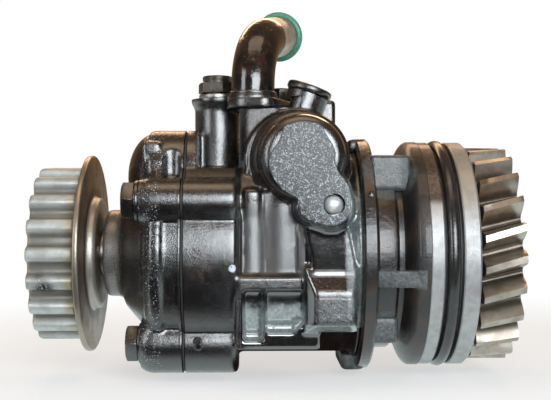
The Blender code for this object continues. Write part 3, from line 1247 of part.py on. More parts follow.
def pipe_points():
    """Centre line of the suction pipe: up, round the bend and out to its end."""
    heading = Vector((math.sin(PIPE_HEADING), math.cos(PIPE_HEADING), 0.0))
    base = Vector((SUCTION_X, SUCTION_Y, 0.0))
    up = Vector((0.0, 0.0, 1.0))
    points = [base + up * PIPE_START_Z, base + up * PIPE_BEND_START_Z]
    for step in range(1, PIPE_BEND_STEPS + 1):
        angle = PIPE_BEND_ANGLE * step / PIPE_BEND_STEPS
        points.append(base + heading * (PIPE_BEND_R * (1 - math.cos(angle)))
                      + up * (PIPE_BEND_START_Z + PIPE_BEND_R * math.sin(angle)))
    direction = heading * math.sin(PIPE_BEND_ANGLE) + up * math.cos(PIPE_BEND_ANGLE)
    points.append(points[-1] + direction * PIPE_END_LENGTH)
    return points, direction


def make_suction_pipe():
    """Bent suction pipe, open right through, with the green O-ring near its end."""
    points, direction = pipe_points()
    curve = bpy.data.curves.new("suction_elbow", "CURVE")
    curve.dimensions = "3D"
    curve.bevel_depth = PIPE_R * MM
    curve.bevel_resolution = 7
    curve.twist_mode = "MINIMUM"
    spline = curve.splines.new("POLY")
    spline.points.add(len(points) - 1)
    for point, place in zip(spline.points, points):
        point.co = (*(place * MM), 1.0)
    guide = bpy.data.objects.new("pipe_guide", curve)
    CUTTERS.objects.link(guide)
    evaluated = guide.evaluated_get(bpy.context.evaluated_depsgraph_get())
    mesh = bpy.data.meshes.new_from_object(evaluated)
    bpy.data.objects.remove(guide, do_unlink=True)
    mesh.shade_smooth()
    pipe = add_object("suction_elbow", mesh, Matrix.Identity(4), BLACK_PAINT)
    wall = pipe.modifiers.new("wall", "SOLIDIFY")
    wall.thickness = PIPE_WALL * MM
    wall.offset = -1.0
    end = points[-1]
    lean = Vector((0.0, 0.0, 1.0)).rotation_difference(direction).to_matrix().to_4x4()
    tip = Matrix.Translation(end * MM) @ lean
    groove_r = PIPE_R - PIPE_GROOVE_DEPTH
    cut(pipe, turned("cut_pipe_groove", [
        (-PIPE_GROOVE_INSET, PIPE_R + 1.0), (-PIPE_GROOVE_INSET - PIPE_GROOVE_WIDTH, PIPE_R + 1.0),
        (-PIPE_GROOVE_INSET - PIPE_GROOVE_WIDTH, groove_r), (-PIPE_GROOVE_INSET, groove_r),
    ], tip, steps=SIDES_MID))
    turned("suction_o_ring", torus_outline(-PIPE_GROOVE_INSET - PIPE_GROOVE_WIDTH / 2,
                                           groove_r + SEAT + PIPE_O_RING_WIRE, PIPE_O_RING_WIRE, 8),
           tip, GREEN_RUBBER, SIDES_MID)
    return pipe


def make_retaining_plate():
    """Plate that holds the suction pipe, its bolt and the O-ring below it."""
    outline = plate_outline()
    plate = loft("elbow_flange_plate", [(PLATE_BOTTOM_Z, outline), (PLATE_TOP_Z, outline)],
                 frame(axis="Z"), BLACK_PAINT)
    suction = frame(SUCTION_X, SUCTION_Y, axis="Z")
    bolt_place = frame(PLATE_BOLT_X, PLATE_BOLT_Y, axis="Z")
    join(plate, turned("add_plate_neck", [
        (PLATE_TOP_Z + PLATE_NECK_HEIGHT, 0.0), (PLATE_TOP_Z + PLATE_NECK_HEIGHT, PIPE_R + 0.9),
        (PLATE_TOP_Z + 0.8, PLATE_R - 0.3), (PLATE_TOP_Z - 1.0, PLATE_R - 0.3), (PLATE_TOP_Z - 1.0, 0.0),
    ], suction, steps=SIDES_MID))
    cut(plate, rod("cut_plate_socket", suction, PIPE_START_Z - SEAT, PLATE_TOP_Z + PLATE_NECK_HEIGHT + 1.0,
                   PIPE_R + SEAT, sides=SIDES_MID),
        rod("cut_plate_passage", frame(PASSAGE_X, PASSAGE_Y, axis="Z"), PLATE_BOTTOM_Z - 1.0,
            PIPE_START_Z + 1.0,
            PASSAGE_R),
        rod("cut_plate_bolt_hole", bolt_place, PLATE_BOTTOM_Z - 1.0, PLATE_TOP_Z + 1.0, PLATE_BOLT_R + SEAT,
            sides=SIDES_TINY))
    head = PLATE_TOP_Z + SEAT
    bolt = hex_bar("elbow_bolt", bolt_place @ Matrix.Rotation(math.pi, 4, "X"), -head - PLATE_BOLT_HEAD,
                   -head,
                   PLATE_BOLT_FLATS, DARK_STEEL, turn=math.radians(20.0))
    join(bolt, rod("add_plate_bolt_shank", bolt_place, SUCTION_TOP_Z - PLATE_BOLT_REACH + 1.0, head + 1.0,
                   PLATE_BOLT_R, sides=SIDES_TINY))
    turned("elbow_base_o_ring", torus_outline(SUCTION_TOP_Z - BASE_O_RING_WIRE + SEAT,
                                              BASE_SEAL_R - SEAT - BASE_O_RING_WIRE, BASE_O_RING_WIRE, 6),
           frame(PASSAGE_X, PASSAGE_Y, axis="Z"), BLACK_RUBBER, SIDES_SMALL + 4)


def plate_outline():
    """Outline round the pipe, the near corner of the column and the bolt."""
    return hull_outline([(SUCTION_X, SUCTION_Y, PLATE_R), (PLATE_NEAR_X, PLATE_NEAR_Y, PLATE_NEAR_R),
                         (PLATE_BOLT_X, PLATE_BOLT_Y, PLATE_LOBE_R)])


def make_tilted_plug():
    """Tilted screw plug with a hex socket in its head."""
    tilted = frame(TILT_X, TILT_Y, TILT_Z, axis="Z", tilt=TILT_ANGLE)
    half = TILT_HEAD_THICK / 2
    plug = turned("side_screw_plug", [
        (half, 0.0), (half, TILT_HEAD_R - 0.5), (half - 0.5, TILT_HEAD_R), (0.3 - half, TILT_HEAD_R),
        (-half, TILT_HEAD_R - 0.3), (-half, TILT_THREAD_R), (-half - TILT_THREAD_LENGTH, TILT_THREAD_R),
        (-half - TILT_THREAD_LENGTH, 0.0),
    ], tilted, DARK_STEEL, SIDES_SMALL + 8)
    socket = hexagon(TILT_SOCKET_FLATS)
    cut(plug, loft("cut_plug_socket", [(half - TILT_SOCKET_DEPTH, socket), (half + 1.0, socket)], tilted))


def make_coupling():
    """Toothed hub, disc and nut at the front end of the shaft."""
    disc_bore = HUB_SEAT_R + SEAT
    turned("coupling_disc", [
        (DISC_BOSS_FACE, DISC_BOSS_R - 1.2), (DISC_BOSS_FACE - 0.5, DISC_BOSS_R - 0.3),
        (DISC_BOSS_FACE - 1.3, DISC_BOSS_R), (DISC_BACK, DISC_BOSS_R), (DISC_BACK, DISC_R - 0.4),
        (DISC_BACK - 0.4, DISC_R), (DISC_FRONT + 0.4, DISC_R), (DISC_FRONT, DISC_R - 0.4),
        (DISC_FRONT, disc_bore),
        (DISC_BOSS_FACE, disc_bore),
    ], frame(), DARK_STEEL, SIDES_BODY - 8)
    outline = hub_outline()
    hub = loft("coupling_hub", [
        (HUB_FRONT, turned_points(outline, 0.0, 0.965)), (HUB_FRONT + 1.5, outline), (HUB_BACK, outline),
    ], frame(), ALLOY)
    join(hub, rod("add_hub_boss", frame(), HUB_BACK - 1.0, HUB_BOSS_FACE, HUB_BOSS_R, sides=SIDES_MID))
    cut(hub, turned("cut_hub_bores", [
        (HUB_BOSS_FACE + 1.0, 0.0), (HUB_BOSS_FACE + 1.0, disc_bore), (HUB_WEB_FRONT, disc_bore),
        (HUB_WEB_FRONT, HUB_RECESS_R - 1.5), (HUB_WEB_FRONT - 1.5, HUB_RECESS_R),
        (HUB_FRONT - 1.0, HUB_RECESS_R),
        (HUB_FRONT - 1.0, 0.0),
    ], frame(), steps=SIDES_MID))
    nut = hex_bar("coupling_nut", frame(), COUPLING_NUT_FRONT, COUPLING_NUT_BACK, COUPLING_NUT_FLATS,
                  DARK_STEEL)
    cut(nut, rod("cut_coupling_nut_bore", frame(), COUPLING_NUT_FRONT - 1.0, COUPLING_NUT_BACK + 1.0,
                 HUB_THREAD_R + SEAT))


def hub_outline():
    """Rounded coupling teeth with wide shallow valleys between them."""
    pitch = 2 * math.pi / HUB_TEETH
    root_r = HUB_TIP_R - HUB_TOOTH_DEPTH
    shape = ((0.10, 0.99), (0.19, 0.85), (0.26, 0.45), (0.34, 0.10))
    points = []
    for tooth in range(HUB_TEETH):
        middle = -math.pi / 2 - HUB_PHASE + pitch * tooth
        steps = [(-share, rise) for share, rise in reversed(shape)] + list(shape)
        for share, rise in [(-0.5, 0.0)] + steps:
            radius = root_r + HUB_TOOTH_DEPTH * rise
            angle = middle + pitch * share
            points.append((radius * math.cos(angle), radius * math.sin(angle)))
    return points


def main():
    """Build every piece of the pump."""
    make_housing()
    make_cover()
    make_gasket()
    make_cover_bolts()
    make_carrier()
    make_spigot_o_ring()
    make_shaft()
    make_gear_key()
    make_drive_gear()
    make_gear_nut()
    make_bearing()
    make_seals_and_bush()
    make_pump_pack()
    make_rotor()
    make_valve()
    make_pressure_plug()
    make_suction_pipe()
    make_retaining_plate()
    make_tilted_plug()
    make_coupling()


main()
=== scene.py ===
"""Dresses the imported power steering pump: cast forms, machined parts, finishes and studio."""

from __future__ import annotations

import logging
import math
from dataclasses import dataclass, field, replace
from enum import Enum
from typing import Any, Callable, Iterable, Sequence

import bpy
from mathutils import Matrix, Vector

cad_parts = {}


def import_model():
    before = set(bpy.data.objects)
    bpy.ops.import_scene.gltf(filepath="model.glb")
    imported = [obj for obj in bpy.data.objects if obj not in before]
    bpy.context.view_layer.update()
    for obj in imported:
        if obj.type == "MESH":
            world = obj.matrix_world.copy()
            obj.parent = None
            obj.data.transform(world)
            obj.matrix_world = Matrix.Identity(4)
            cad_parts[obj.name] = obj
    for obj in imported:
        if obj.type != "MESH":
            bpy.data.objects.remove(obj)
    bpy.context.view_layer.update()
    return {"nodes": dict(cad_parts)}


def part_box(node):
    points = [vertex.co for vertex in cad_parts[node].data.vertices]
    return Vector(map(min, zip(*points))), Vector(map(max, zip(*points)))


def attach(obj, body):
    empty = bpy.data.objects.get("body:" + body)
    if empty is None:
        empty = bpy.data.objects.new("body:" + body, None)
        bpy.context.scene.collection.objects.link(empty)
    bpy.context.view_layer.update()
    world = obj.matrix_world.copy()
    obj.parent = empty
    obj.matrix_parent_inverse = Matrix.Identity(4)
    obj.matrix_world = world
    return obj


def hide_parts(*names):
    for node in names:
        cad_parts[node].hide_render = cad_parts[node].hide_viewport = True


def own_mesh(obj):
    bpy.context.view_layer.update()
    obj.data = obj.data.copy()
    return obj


LOG = logging.getLogger("pump")
MM = 0.001
PHOTO_WIDTH = 551
ROUGH_TURN = 48
FINE_TURN = 96
FINER_TURN = 144
FINEST_TURN = 168
WELD = 0.004
TOOTH_WELD = 0.01
FLAT_ANGLE = 0.5
BEYOND = 9000.0

Outline = Sequence[tuple[float, float]]
Circle = tuple[float, float, float]
Corner = tuple[float, float, float]
Piece = bpy.types.Object


class Axis(Enum):
    """The pump's axis that a local frame's Z axis runs along."""

    ALONG = "X"
    ACROSS = "Y"
    UP = "Z"


class Body(Enum):
    """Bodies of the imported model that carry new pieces."""

    CASING = "pump_casing"
    SHAFT = "shaft_line"


@dataclass(frozen=True)
class Spot:
    """Place of a local frame in millimetres. An upright one can lean towards X, in degrees."""

    x: float = 0.0
    y: float = 0.0
    z: float = 0.0
    axis: Axis = Axis.ALONG
    lean: float = 0.0
    roll: float = 0.0

    def matrix(self) -> Matrix:
        """Matrix from the local frame to the pump's frame, in metres."""
        turns = {
            Axis.ALONG: Matrix.Rotation(math.pi / 2, 4, "Y"),
            Axis.ACROSS: Matrix.Rotation(-math.pi / 2, 4, "X"),
            Axis.UP: Matrix.Rotation(math.radians(self.lean), 4, "Y"),
        }
        place = Matrix.Translation(Vector((self.x, self.y, self.z)) * MM)
        return place @ turns[self.axis] @ Matrix.Rotation(math.radians(self.roll), 4, "Z")


PORT = Spot(-54.8, 6.0, axis=Axis.UP)
SUCTION = Spot(-39.3, -8.3, axis=Axis.UP)
PLATE_BOLT = Spot(-31.1, 2.0, axis=Axis.UP)
TILTED = Spot(-21.4, -14.0, 58.5, Axis.UP, 19.5)
VALVE_LINE = Spot(-25.0, 0.0, 33.4, Axis.ACROSS)


def across_corners(flats: float) -> float:
    """Radius of the corners of a hexagon with a width across flats."""
    return flats / 2 / math.cos(math.pi / 6)


def circle(along: float, radius: float, wire: float, steps: int) -> list[tuple[float, float]]:
    """Section of a round ring: points (along, radius) on a circle round its middle.

    Args:
        along: Middle along the local axis.
        radius: Middle's distance from the axis.
        wire: Radius of the section.
        steps: Number of points.

    Returns:
        The points.
    """
    angles = (math.tau * k / steps for k in range(steps))
    return [(along + wire * math.cos(a), radius + wire * math.sin(a)) for a in angles]


class Bench:
    """Blender's modelling operators, used one after the other. Sizes are in millimetres."""

    def clear(self) -> None:
        """Leave edit mode and deselect everything."""
        if bpy.context.mode != "OBJECT":
            bpy.ops.object.mode_set(mode="OBJECT")
        bpy.ops.object.select_all(action="DESELECT")

    def pick(self, *pieces: Piece) -> None:
        """Select pieces alone, the first one active.

        Args:
            pieces: The objects to select.
        """
        self.clear()
        for piece in pieces:
            piece.select_set(True)
        bpy.context.view_layer.objects.active = pieces[0]

    def everything(self) -> None:
        """Select all of the open mesh."""
        bpy.ops.mesh.select_all(action="SELECT")

    def edit(self, piece: Piece) -> None:
        """Open a piece in edit mode with all of it selected."""
        self.pick(piece)
        bpy.ops.object.mode_set(mode="EDIT")
        self.everything()

    def settle(self, piece: Piece, seat: Spot | Matrix) -> Piece:
        """Put a piece modelled at the origin into its place and apply its place to its mesh.

        Args:
            piece: The object.
            seat: Its seat, or a matrix.

        Returns:
            The same object, at the origin with its place in its mesh.
        """
        self.clear()
        matrix = seat.matrix() if isinstance(seat, Spot) else seat
        self.pick(piece)
        piece.matrix_world = matrix @ piece.matrix_world
        bpy.ops.object.transform_apply(location=True, rotation=True, scale=True)
        return piece

    def outline(self, name: str, points: Outline, across: bool) -> Piece:
        """Draw a chain of edges by extruding a corner from point to point.

        Args:
            name: Name of the new object.
            points: Points of the chain.
            across: Draw (x, y) points in the XY plane, else (along, radius) points in the XZ plane.

        Returns:
            The object, left in edit mode with its last corner selected.
        """
        self.clear()
        bpy.ops.mesh.primitive_plane_add(size=MM)
        piece = bpy.context.active_object
        piece.name = name
        bpy.ops.object.mode_set(mode="EDIT")
        self.everything()
        bpy.ops.mesh.merge(type="CENTER")
        places = [Vector((a, b, 0.0)) if across else Vector((b, 0.0, a)) for a, b in points]
        bpy.ops.transform.translate(value=places[0] * MM)
        for before, after in zip(places, places[1:]):
            step = (after - before) * MM
            bpy.ops.mesh.extrude_vertices_move(TRANSFORM_OT_translate={"value": step})
        return piece

    def close(self) -> None:
        """Merge doubles and turn the faces outwards in the open mesh."""
        self.everything()
        bpy.ops.mesh.remove_doubles(threshold=WELD * MM)
        bpy.ops.mesh.normals_make_consistent(inside=False)

    def fill(self, weld: float = WELD) -> None:
        """Merge doubles of the open outline and fill it."""
        self.everything()
        bpy.ops.mesh.remove_doubles(threshold=weld * MM)
        self.everything()
        bpy.ops.mesh.edge_face_add()

    def wrap(self) -> None:
        """Wrap the open mesh in a convex hull with flat sides."""
        self.everything()
        bpy.ops.mesh.convex_hull()
        self.everything()
        bpy.ops.mesh.dissolve_limited(angle_limit=math.radians(FLAT_ANGLE))
        self.close()

    def turned(self, name: str, points: Outline, seat: Spot | Matrix,
               steps: int = FINE_TURN) -> Piece:
        """Spin an outline of (along, radius) points about the local axis.

        Args:
            name: Name of the new object.
            points: The outline. It ends on the axis, or its last point is its first.
            seat: Where the local frame lies.
            steps: Number of steps round.

        Returns:
            The turned piece.
        """
        piece = self.outline(name, points, across=False)
        self.everything()
        bpy.ops.mesh.spin(steps=steps, angle=math.tau, center=(0, 0, 0), axis=(0, 0, 1))
        self.close()
        return self.settle(piece, seat)

    def ring(self, name: str, points: Outline, seat: Spot | Matrix,
             steps: int = FINE_TURN) -> Piece:
        """Spin a closed outline about the local axis."""
        return self.turned(name, [*points, points[0]], seat, steps)

    def rod(self, name: str, start: float, end: float, radius: float, seat: Spot | Matrix,
            steps: int = ROUGH_TURN) -> Piece:
        """Spin a plain bar from start to end along the local axis."""
        return self.turned(name, [(start, 0.0), (start, radius), (end, radius), (end, 0.0)], seat,
                           steps)

    def hull(self, name: str, circles: Sequence[Circle], start: float, end: float, seat: Spot,
             steps: int = ROUGH_TURN) -> Piece:
        """Wrap upright bars in a convex hull.

        Args:
            name: Name of the new object.
            circles: The bars as (x, y, radius) in the local frame.
            start: Where the bars start along the local axis.
            end: Where they end.
            seat: Where the local frame lies.
            steps: Number of sides of each bar.

        Returns:
            The wrapped piece.
        """
        self.clear()
        for index, (x, y, radius) in enumerate(circles):
            bpy.ops.mesh.primitive_cylinder_add(
                vertices=steps, radius=radius * MM, depth=(end - start) * MM,
                location=Vector((x, y, (start + end) / 2)) * MM)
            if index == 0:
                piece = bpy.context.active_object
                piece.name = name
                bpy.ops.object.mode_set(mode="EDIT")
        self.wrap()
        return self.settle(piece, seat)

    def block(self, name: str, low: Corner, high: Corner, rounding: float = 0.0,
              seat: Spot | Matrix = Matrix.Identity(4)) -> Piece:
        """Shape a cube into a box between two corners and round its edges.

        Args:
            name: Name of the new object.
            low: Lowest corner.
            high: Highest corner.
            rounding: Width of the rounding.
            seat: Where the local frame lies.

        Returns:
            The box.
        """
        self.clear()
        centre = (Vector(low) + Vector(high)) / 2 * MM
        size = (Vector(high) - Vector(low)) * MM
        bpy.ops.mesh.primitive_cube_add(size=1.0, location=centre, scale=size)
        piece = bpy.context.active_object
        piece.name = name
        self.settle(piece, seat)
        if rounding > 0.0:
            self.soften(piece, rounding, 3, 10.0)
        return piece

    def wrapped(self, name: str, corners: Sequence[Corner]) -> Piece:
        """Wrap single corners of the pump's frame in a convex hull.

        Args:
            name: Name of the new object.
            corners: The corners.

        Returns:
            The wrapped piece.
        """
        piece = self.outline(name, [(0.0, 0.0)] * len(corners), across=True)
        bpy.ops.object.mode_set(mode="OBJECT")
        for vertex, corner in zip(piece.data.vertices, corners):
            vertex.co = Vector(corner) * MM
        self.edit(piece)
        self.wrap()
        self.clear()
        return piece

    def raised(self, name: str, points: Outline, levels: Sequence[tuple[float, float, float]],
               seat: Spot | Matrix) -> Piece:
        """Fill an outline and raise it from level to level.

        Args:
            name: Name of the new object.
            points: Closed outline of (x, y) points.
            levels: For each level its height, its turn in degrees and its scale.
            seat: Where the local frame lies.

        Returns:
            The raised piece.
        """
        piece = self.outline(name, [*points, points[0]], across=True)
        self.fill()
        height, turn, scale = levels[0]
        self.shift(height, turn, scale)
        for level in levels[1:]:
            bpy.ops.mesh.extrude_region_move(TRANSFORM_OT_translate={"value": (0, 0, 0)})
            self.shift(level[0] - height, level[1] - turn, level[2] / scale)
            height, turn, scale = level
        self.close()
        return self.settle(piece, seat)

    def toothed(self, name: str, tooth: Outline, teeth: int) -> Piece:
        """Draw one tooth, spin copies of it round and fill the outline.

        Args:
            name: Name of the new object.
            tooth: Points (x, y) of the tooth from valley to valley.
            teeth: Number of teeth.

        Returns:
            The flat toothed face, left in edit mode.
        """
        piece = self.outline(name, tooth, across=True)
        self.everything()
        bpy.ops.mesh.spin(steps=teeth, dupli=True, angle=math.tau, center=(0, 0, 0), axis=(0, 0, 1))
        self.fill(TOOTH_WELD)
        return piece

    def hexagonal(self, name: str, flats: float, ends: tuple[float, float], seat: Spot,
                  form: Outline, form_seat: Spot) -> Piece:
        """Raise a hexagon and turn its corners down.

        Args:
            name: Name of the new object.
            flats: Width across flats.
            ends: Where it starts and ends along the local axis.
            seat: Where the hexagon lies.
            form: Outline that its corners are turned down to, or an empty one.
            form_seat: Where that outline lies.

        Returns:
            The hexagonal piece.
        """
        corner = across_corners(flats)
        angles = [math.radians(60 * k) for k in range(6)]
        points = [(corner * math.cos(a), corner * math.sin(a)) for a in angles]
        piece = self.raised(name, points, [(end, 0, 1) for end in ends], seat)
        if form:
            self.carved(piece, [self.turned("chamfer_form", form, form_seat)], "INTERSECT")
        return piece

    def shift(self, rise: float, turn: float, scale: float) -> None:
        """Move, turn and scale what is selected, about the local axis."""
        bpy.ops.transform.translate(value=(0, 0, rise * MM))
        if turn:
            bpy.ops.transform.rotate(value=math.radians(turn), orient_axis="Z",
                                     center_override=(0, 0, 0))
        if scale != 1.0:
            bpy.ops.transform.resize(value=(scale, scale, 1.0), center_override=(0, 0, 0))

    def apply(self, piece: Piece, kind: str, **settings: Any) -> Piece:
        """Add one modifier and apply it.

        Args:
            piece: The object.
            kind: Type of the modifier.
            settings: Its settings.

        Returns:
            The same object.
        """
        self.pick(piece)
        modifier = piece.modifiers.new(kind.lower(), kind)
        for setting, value in settings.items():
            setattr(modifier, setting, value)
        bpy.ops.object.modifier_apply(modifier=modifier.name)
        return piece

    def soften(self, piece: Piece, width: float, segments: int = 2, angle: float = 30.0) -> Piece:
        """Round the edges that are sharper than an angle."""
        return self.apply(piece, "BEVEL", width=width * MM, segments=segments, limit_method="ANGLE",
                          angle_limit=math.radians(angle), use_clamp_overlap=True)

    def fused(self, name: str, pieces: Sequence[Piece]) -> Piece:
        """Join pieces into one object.

        Args:
            name: Name of the result.
            pieces: The objects, which may overlap.

        Returns:
            The joined object.
        """
        self.pick(*pieces)
        if len(pieces) > 1:
            bpy.ops.object.join()
        pieces[0].name = name
        return pieces[0]

    def carved(self, piece: Piece, cutters: Iterable[Piece],
               operation: str = "DIFFERENCE") -> Piece:
        """Cut shapes out of a piece and remove them.

        Args:
            piece: The object to cut.
            cutters: Closed shapes.
            operation: Name of the Boolean operation.

        Returns:
            The same object.
        """
        for cutter in cutters:
            self.apply(piece, "BOOLEAN", operation=operation, object=cutter, solver="EXACT")
            bpy.data.objects.remove(cutter, do_unlink=True)
        return piece

    def cast(self, piece: Piece, grain: float, passes: int) -> Piece:
        """Melt joined forms into one cast skin with soft edges.

        Args:
            piece: Joined forms.
            grain: Size of the skin's faces.
            passes: How often the skin is smoothed.

        Returns:
            The same object.
        """
        self.apply(piece, "REMESH", mode="VOXEL", voxel_size=grain * MM)
        return self.apply(piece, "SMOOTH", factor=0.5, iterations=passes)

    def faced(self, piece: Piece, at: float, keep_above: bool) -> Piece:
        """Face a piece off square to the shaft.

        Args:
            piece: The object.
            at: Place of the cut along X.
            keep_above: Keep the side with larger X, else the other side.

        Returns:
            The same object, closed by a flat face.
        """
        self.edit(piece)
        bpy.ops.mesh.bisect(plane_co=(at * MM, 0, 0), plane_no=(1, 0, 0), use_fill=True,
                            clear_inner=keep_above, clear_outer=not keep_above,
                            threshold=0.001 * MM)
        self.everything()
        bpy.ops.mesh.normals_make_consistent(inside=False)
        self.clear()
        return piece

    def copied(self, piece: Piece, name: str, offset: Vector) -> Piece:
        """Copy a piece with its own mesh and move it by an offset in millimetres."""
        self.pick(piece)
        bpy.ops.object.duplicate(linked=False)
        twin = bpy.context.active_object
        twin.name = name
        return self.settle(twin, Matrix.Translation(offset * MM))

    def finished(self, piece: Piece, finish: "Finish", body: Body, *nodes: str,
                 angle: float = 35.0) -> Piece:
        """Shade a piece, give it its finish and fix it to the frame.

        Args:
            piece: The finished shape.
            finish: Its finish.
            body: The body that carries it.
            nodes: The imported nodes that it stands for.
            angle: Edges sharper than this many degrees stay sharp.

        Returns:
            The same object.
        """
        self.pick(piece)
        bpy.ops.object.shade_smooth_by_angle(angle=math.radians(angle))
        piece.data.name = piece.name
        piece.data.materials.clear()
        piece.data.materials.append(finish.material())
        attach(piece, body.value)
        if nodes:
            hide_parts(*nodes)
        faces = sum(len(face.vertices) - 2 for face in piece.data.polygons)
        LOG.info("%s: %d triangles", piece.name, faces)
        return piece


class Value:
    """A number socket of a material that takes part in sums."""

    def __init__(self, graph: "Graph", socket: Any) -> None:
        """Wrap a socket of a graph."""
        self.graph = graph
        self.socket = socket

    def combined(self, other: "Value | float", operation: str, swap: bool = False) -> "Value":
        """Add a Math node.

        Args:
            other: The other number.
            operation: Name of the operation.
            swap: Whether the other number comes first.

        Returns:
            The result.
        """
        pair = (other, self) if swap else (self, other)
        return self.graph.number("ShaderNodeMath", {"operation": operation},
                                 {0: pair[0], 1: pair[1]})

    def __add__(self, other: "Value | float") -> "Value":
        """Sum of two numbers."""
        return self.combined(other, "ADD")

    def __radd__(self, other: "Value | float") -> "Value":
        """Sum of two numbers."""
        return self.combined(other, "ADD", swap=True)

    def __sub__(self, other: "Value | float") -> "Value":
        """Difference of two numbers."""
        return self.combined(other, "SUBTRACT")

    def __rsub__(self, other: "Value | float") -> "Value":
        """Difference of two numbers."""
        return self.combined(other, "SUBTRACT", swap=True)

    def __mul__(self, other: "Value | float") -> "Value":
        """Product of two numbers."""
        return self.combined(other, "MULTIPLY")

    def __rmul__(self, other: "Value | float") -> "Value":
        """Product of two numbers."""
        return self.combined(other, "MULTIPLY", swap=True)

    def ramp(self, low: float, high: float, start: float = 0.0, end: float = 1.0) -> "Value":
        """Ease from start to end while this number goes from low to high."""
        return self.graph.number("ShaderNodeMapRange", {"interpolation_type": "SMOOTHSTEP"}, {
            "Value": self, "From Min": low, "From Max": high, "To Min": start, "To Max": end})

    def fall(self, low: float, high: float) -> "Value":
        """Ease from 1 to 0 while this number goes from low to high."""
        return self.ramp(low, high, 1.0, 0.0)

    def distance(self, other: float) -> "Value":
        """How far this number is from another one."""
        return self.graph.number("ShaderNodeMath", {"operation": "ABSOLUTE"}, {0: self - other})


def highest(first: Value, *others: Value) -> Value:
    """The highest of several numbers at each place."""
    for other in others:
        first = first.combined(other, "MAXIMUM")
    return first


def add_node(tree: Any, kind: str, settings: dict[str, Any], inputs: dict[Any, Any]) -> Any:
    """Add any node to a tree.

    Args:
        tree: The node tree.
        kind: Type of the node.
        settings: Its settings, which are set first.
        inputs: Values or links of its sockets, by name or number.

    Returns:
        The node.
    """
    made = tree.nodes.new(kind)
    for setting, value in settings.items():
        setattr(made, setting, value)
    for key, value in inputs.items():
        feed(tree, made.inputs[key], value)
    return made


def feed(tree: Any, socket: Any, value: Any) -> None:
    """Link or set one socket of a tree."""
    source = value.socket if isinstance(value, Value) else value
    if isinstance(source, bpy.types.NodeSocket):
        tree.links.new(source, socket)
    else:
        socket.default_value = source


class Graph:
    """Node graph of one material, with its coordinates in millimetres."""

    def __init__(self, name: str) -> None:
        """Start an empty material with its Principled shader."""
        self.built = bpy.data.materials.new(name)
        self.built.use_nodes = True
        self.tree = self.built.node_tree
        self.shader = self.tree.nodes["Principled BSDF"]
        here = self.node("ShaderNodeTexCoord", {}, {}).outputs["Object"]
        self.place = self.node("ShaderNodeMapping", {},
                               {"Vector": here, "Scale": (1000.0,) * 3}).outputs[0]
        parts = self.node("ShaderNodeSeparateXYZ", {}, {"Vector": self.place}).outputs
        self.x, self.y, self.z = (Value(self, part) for part in parts)

    def node(self, kind: str, settings: dict[str, Any], inputs: dict[Any, Any]) -> Any:
        """Add any node to this material."""
        return add_node(self.tree, kind, settings, inputs)

    def number(self, kind: str, settings: dict[str, Any], inputs: dict[Any, Any]) -> Value:
        """Add a node and wrap its first output."""
        return Value(self, self.node(kind, settings, inputs).outputs[0])

    def noise(self, scale: float, detail: float = 2.0, roughness: float = 0.5,
              stretch: Corner | None = None) -> Value:
        """Noise between 0 and 1.

        Args:
            scale: Features per millimetre.
            detail: Octaves of finer noise.
            roughness: Strength of the finer noise.
            stretch: Scale of the pattern along each axis, or None for an even one.

        Returns:
            The noise.
        """
        where = self.place
        if stretch is not None:
            where = self.node("ShaderNodeMapping", {},
                              {"Vector": where, "Scale": stretch}).outputs[0]
        return self.number("ShaderNodeTexNoise", {}, {
            "Vector": where, "Scale": scale, "Detail": detail, "Roughness": roughness})

    def cells(self, scale: float) -> Value:
        """Distance to the nearest of scattered points, for pits and specks."""
        return self.number("ShaderNodeTexVoronoi", {}, {"Vector": self.place, "Scale": scale})

    def blend(self, first: Any, second: Any, factor: Value) -> Any:
        """Mix two colours.

        Args:
            first: Colour where the factor is 0.
            second: Colour where it is 1.
            factor: The mask.

        Returns:
            The colour socket.
        """
        return self.node("ShaderNodeMix", {"data_type": "RGBA"},
                         {0: factor, 6: first, 7: second}).outputs[2]

    def near(self, centre: Corner, inner: float, outer: float) -> Value:
        """Mask that is 1 within inner millimetres of a place and 0 beyond outer."""
        away = self.number("ShaderNodeVectorMath", {"operation": "DISTANCE"},
                           {0: self.place, 1: centre})
        length = Value(self, away.socket.node.outputs["Value"])
        return length.fall(inner, outer)

    def radius(self) -> Value:
        """Distance from the shaft line."""
        flat = self.node("ShaderNodeCombineXYZ", {}, {"Y": self.y, "Z": self.z}).outputs[0]
        length = self.node("ShaderNodeVectorMath", {"operation": "LENGTH"}, {0: flat})
        return Value(self, length.outputs["Value"])

    def bump(self, height: Value, depth: float, strength: float = 1.0) -> None:
        """Raise the surface by a height times a depth in millimetres."""
        made = self.node("ShaderNodeBump", {},
                         {"Height": height, "Distance": depth * MM, "Strength": strength})
        self.tree.links.new(made.outputs[0], self.shader.inputs["Normal"])

    def gloss(self, level: float, ior: float, coat_rough: float, coat_ior: float) -> None:
        """Set how strongly the surface and its clear coat reflect, on the shader's own sockets."""
        self.shader.inputs["Specular IOR Level"].default_value = level
        self.shader.inputs["IOR"].default_value = ior
        self.shader.inputs["Coat Roughness"].default_value = coat_rough
        self.shader.inputs["Coat IOR"].default_value = coat_ior

    def finish(self, **inputs: Any) -> bpy.types.Material:
        """Feed the shader's sockets, named with _ for each space, and return the material."""
        for key, value in inputs.items():
            feed(self.tree, self.shader.inputs[key.replace("_", " ").title()], value)
        return self.built


def tint(red: float, green: float, blue: float) -> tuple[float, float, float, float]:
    """A colour with full alpha."""
    return (red, green, blue, 1.0)


@dataclass(frozen=True)
class Finish:
    """What a surface looks like. Each finish builds its own material once."""

    name: str = "finish"
    slot: str = "bright_steel"

    def material(self) -> bpy.types.Material:
        """The material of this finish."""
        return bpy.data.materials.get(self.name) or self.build()

    def build(self) -> bpy.types.Material:
        """Build the material."""
        raise NotImplementedError


Zone = Callable[[Graph], Value]


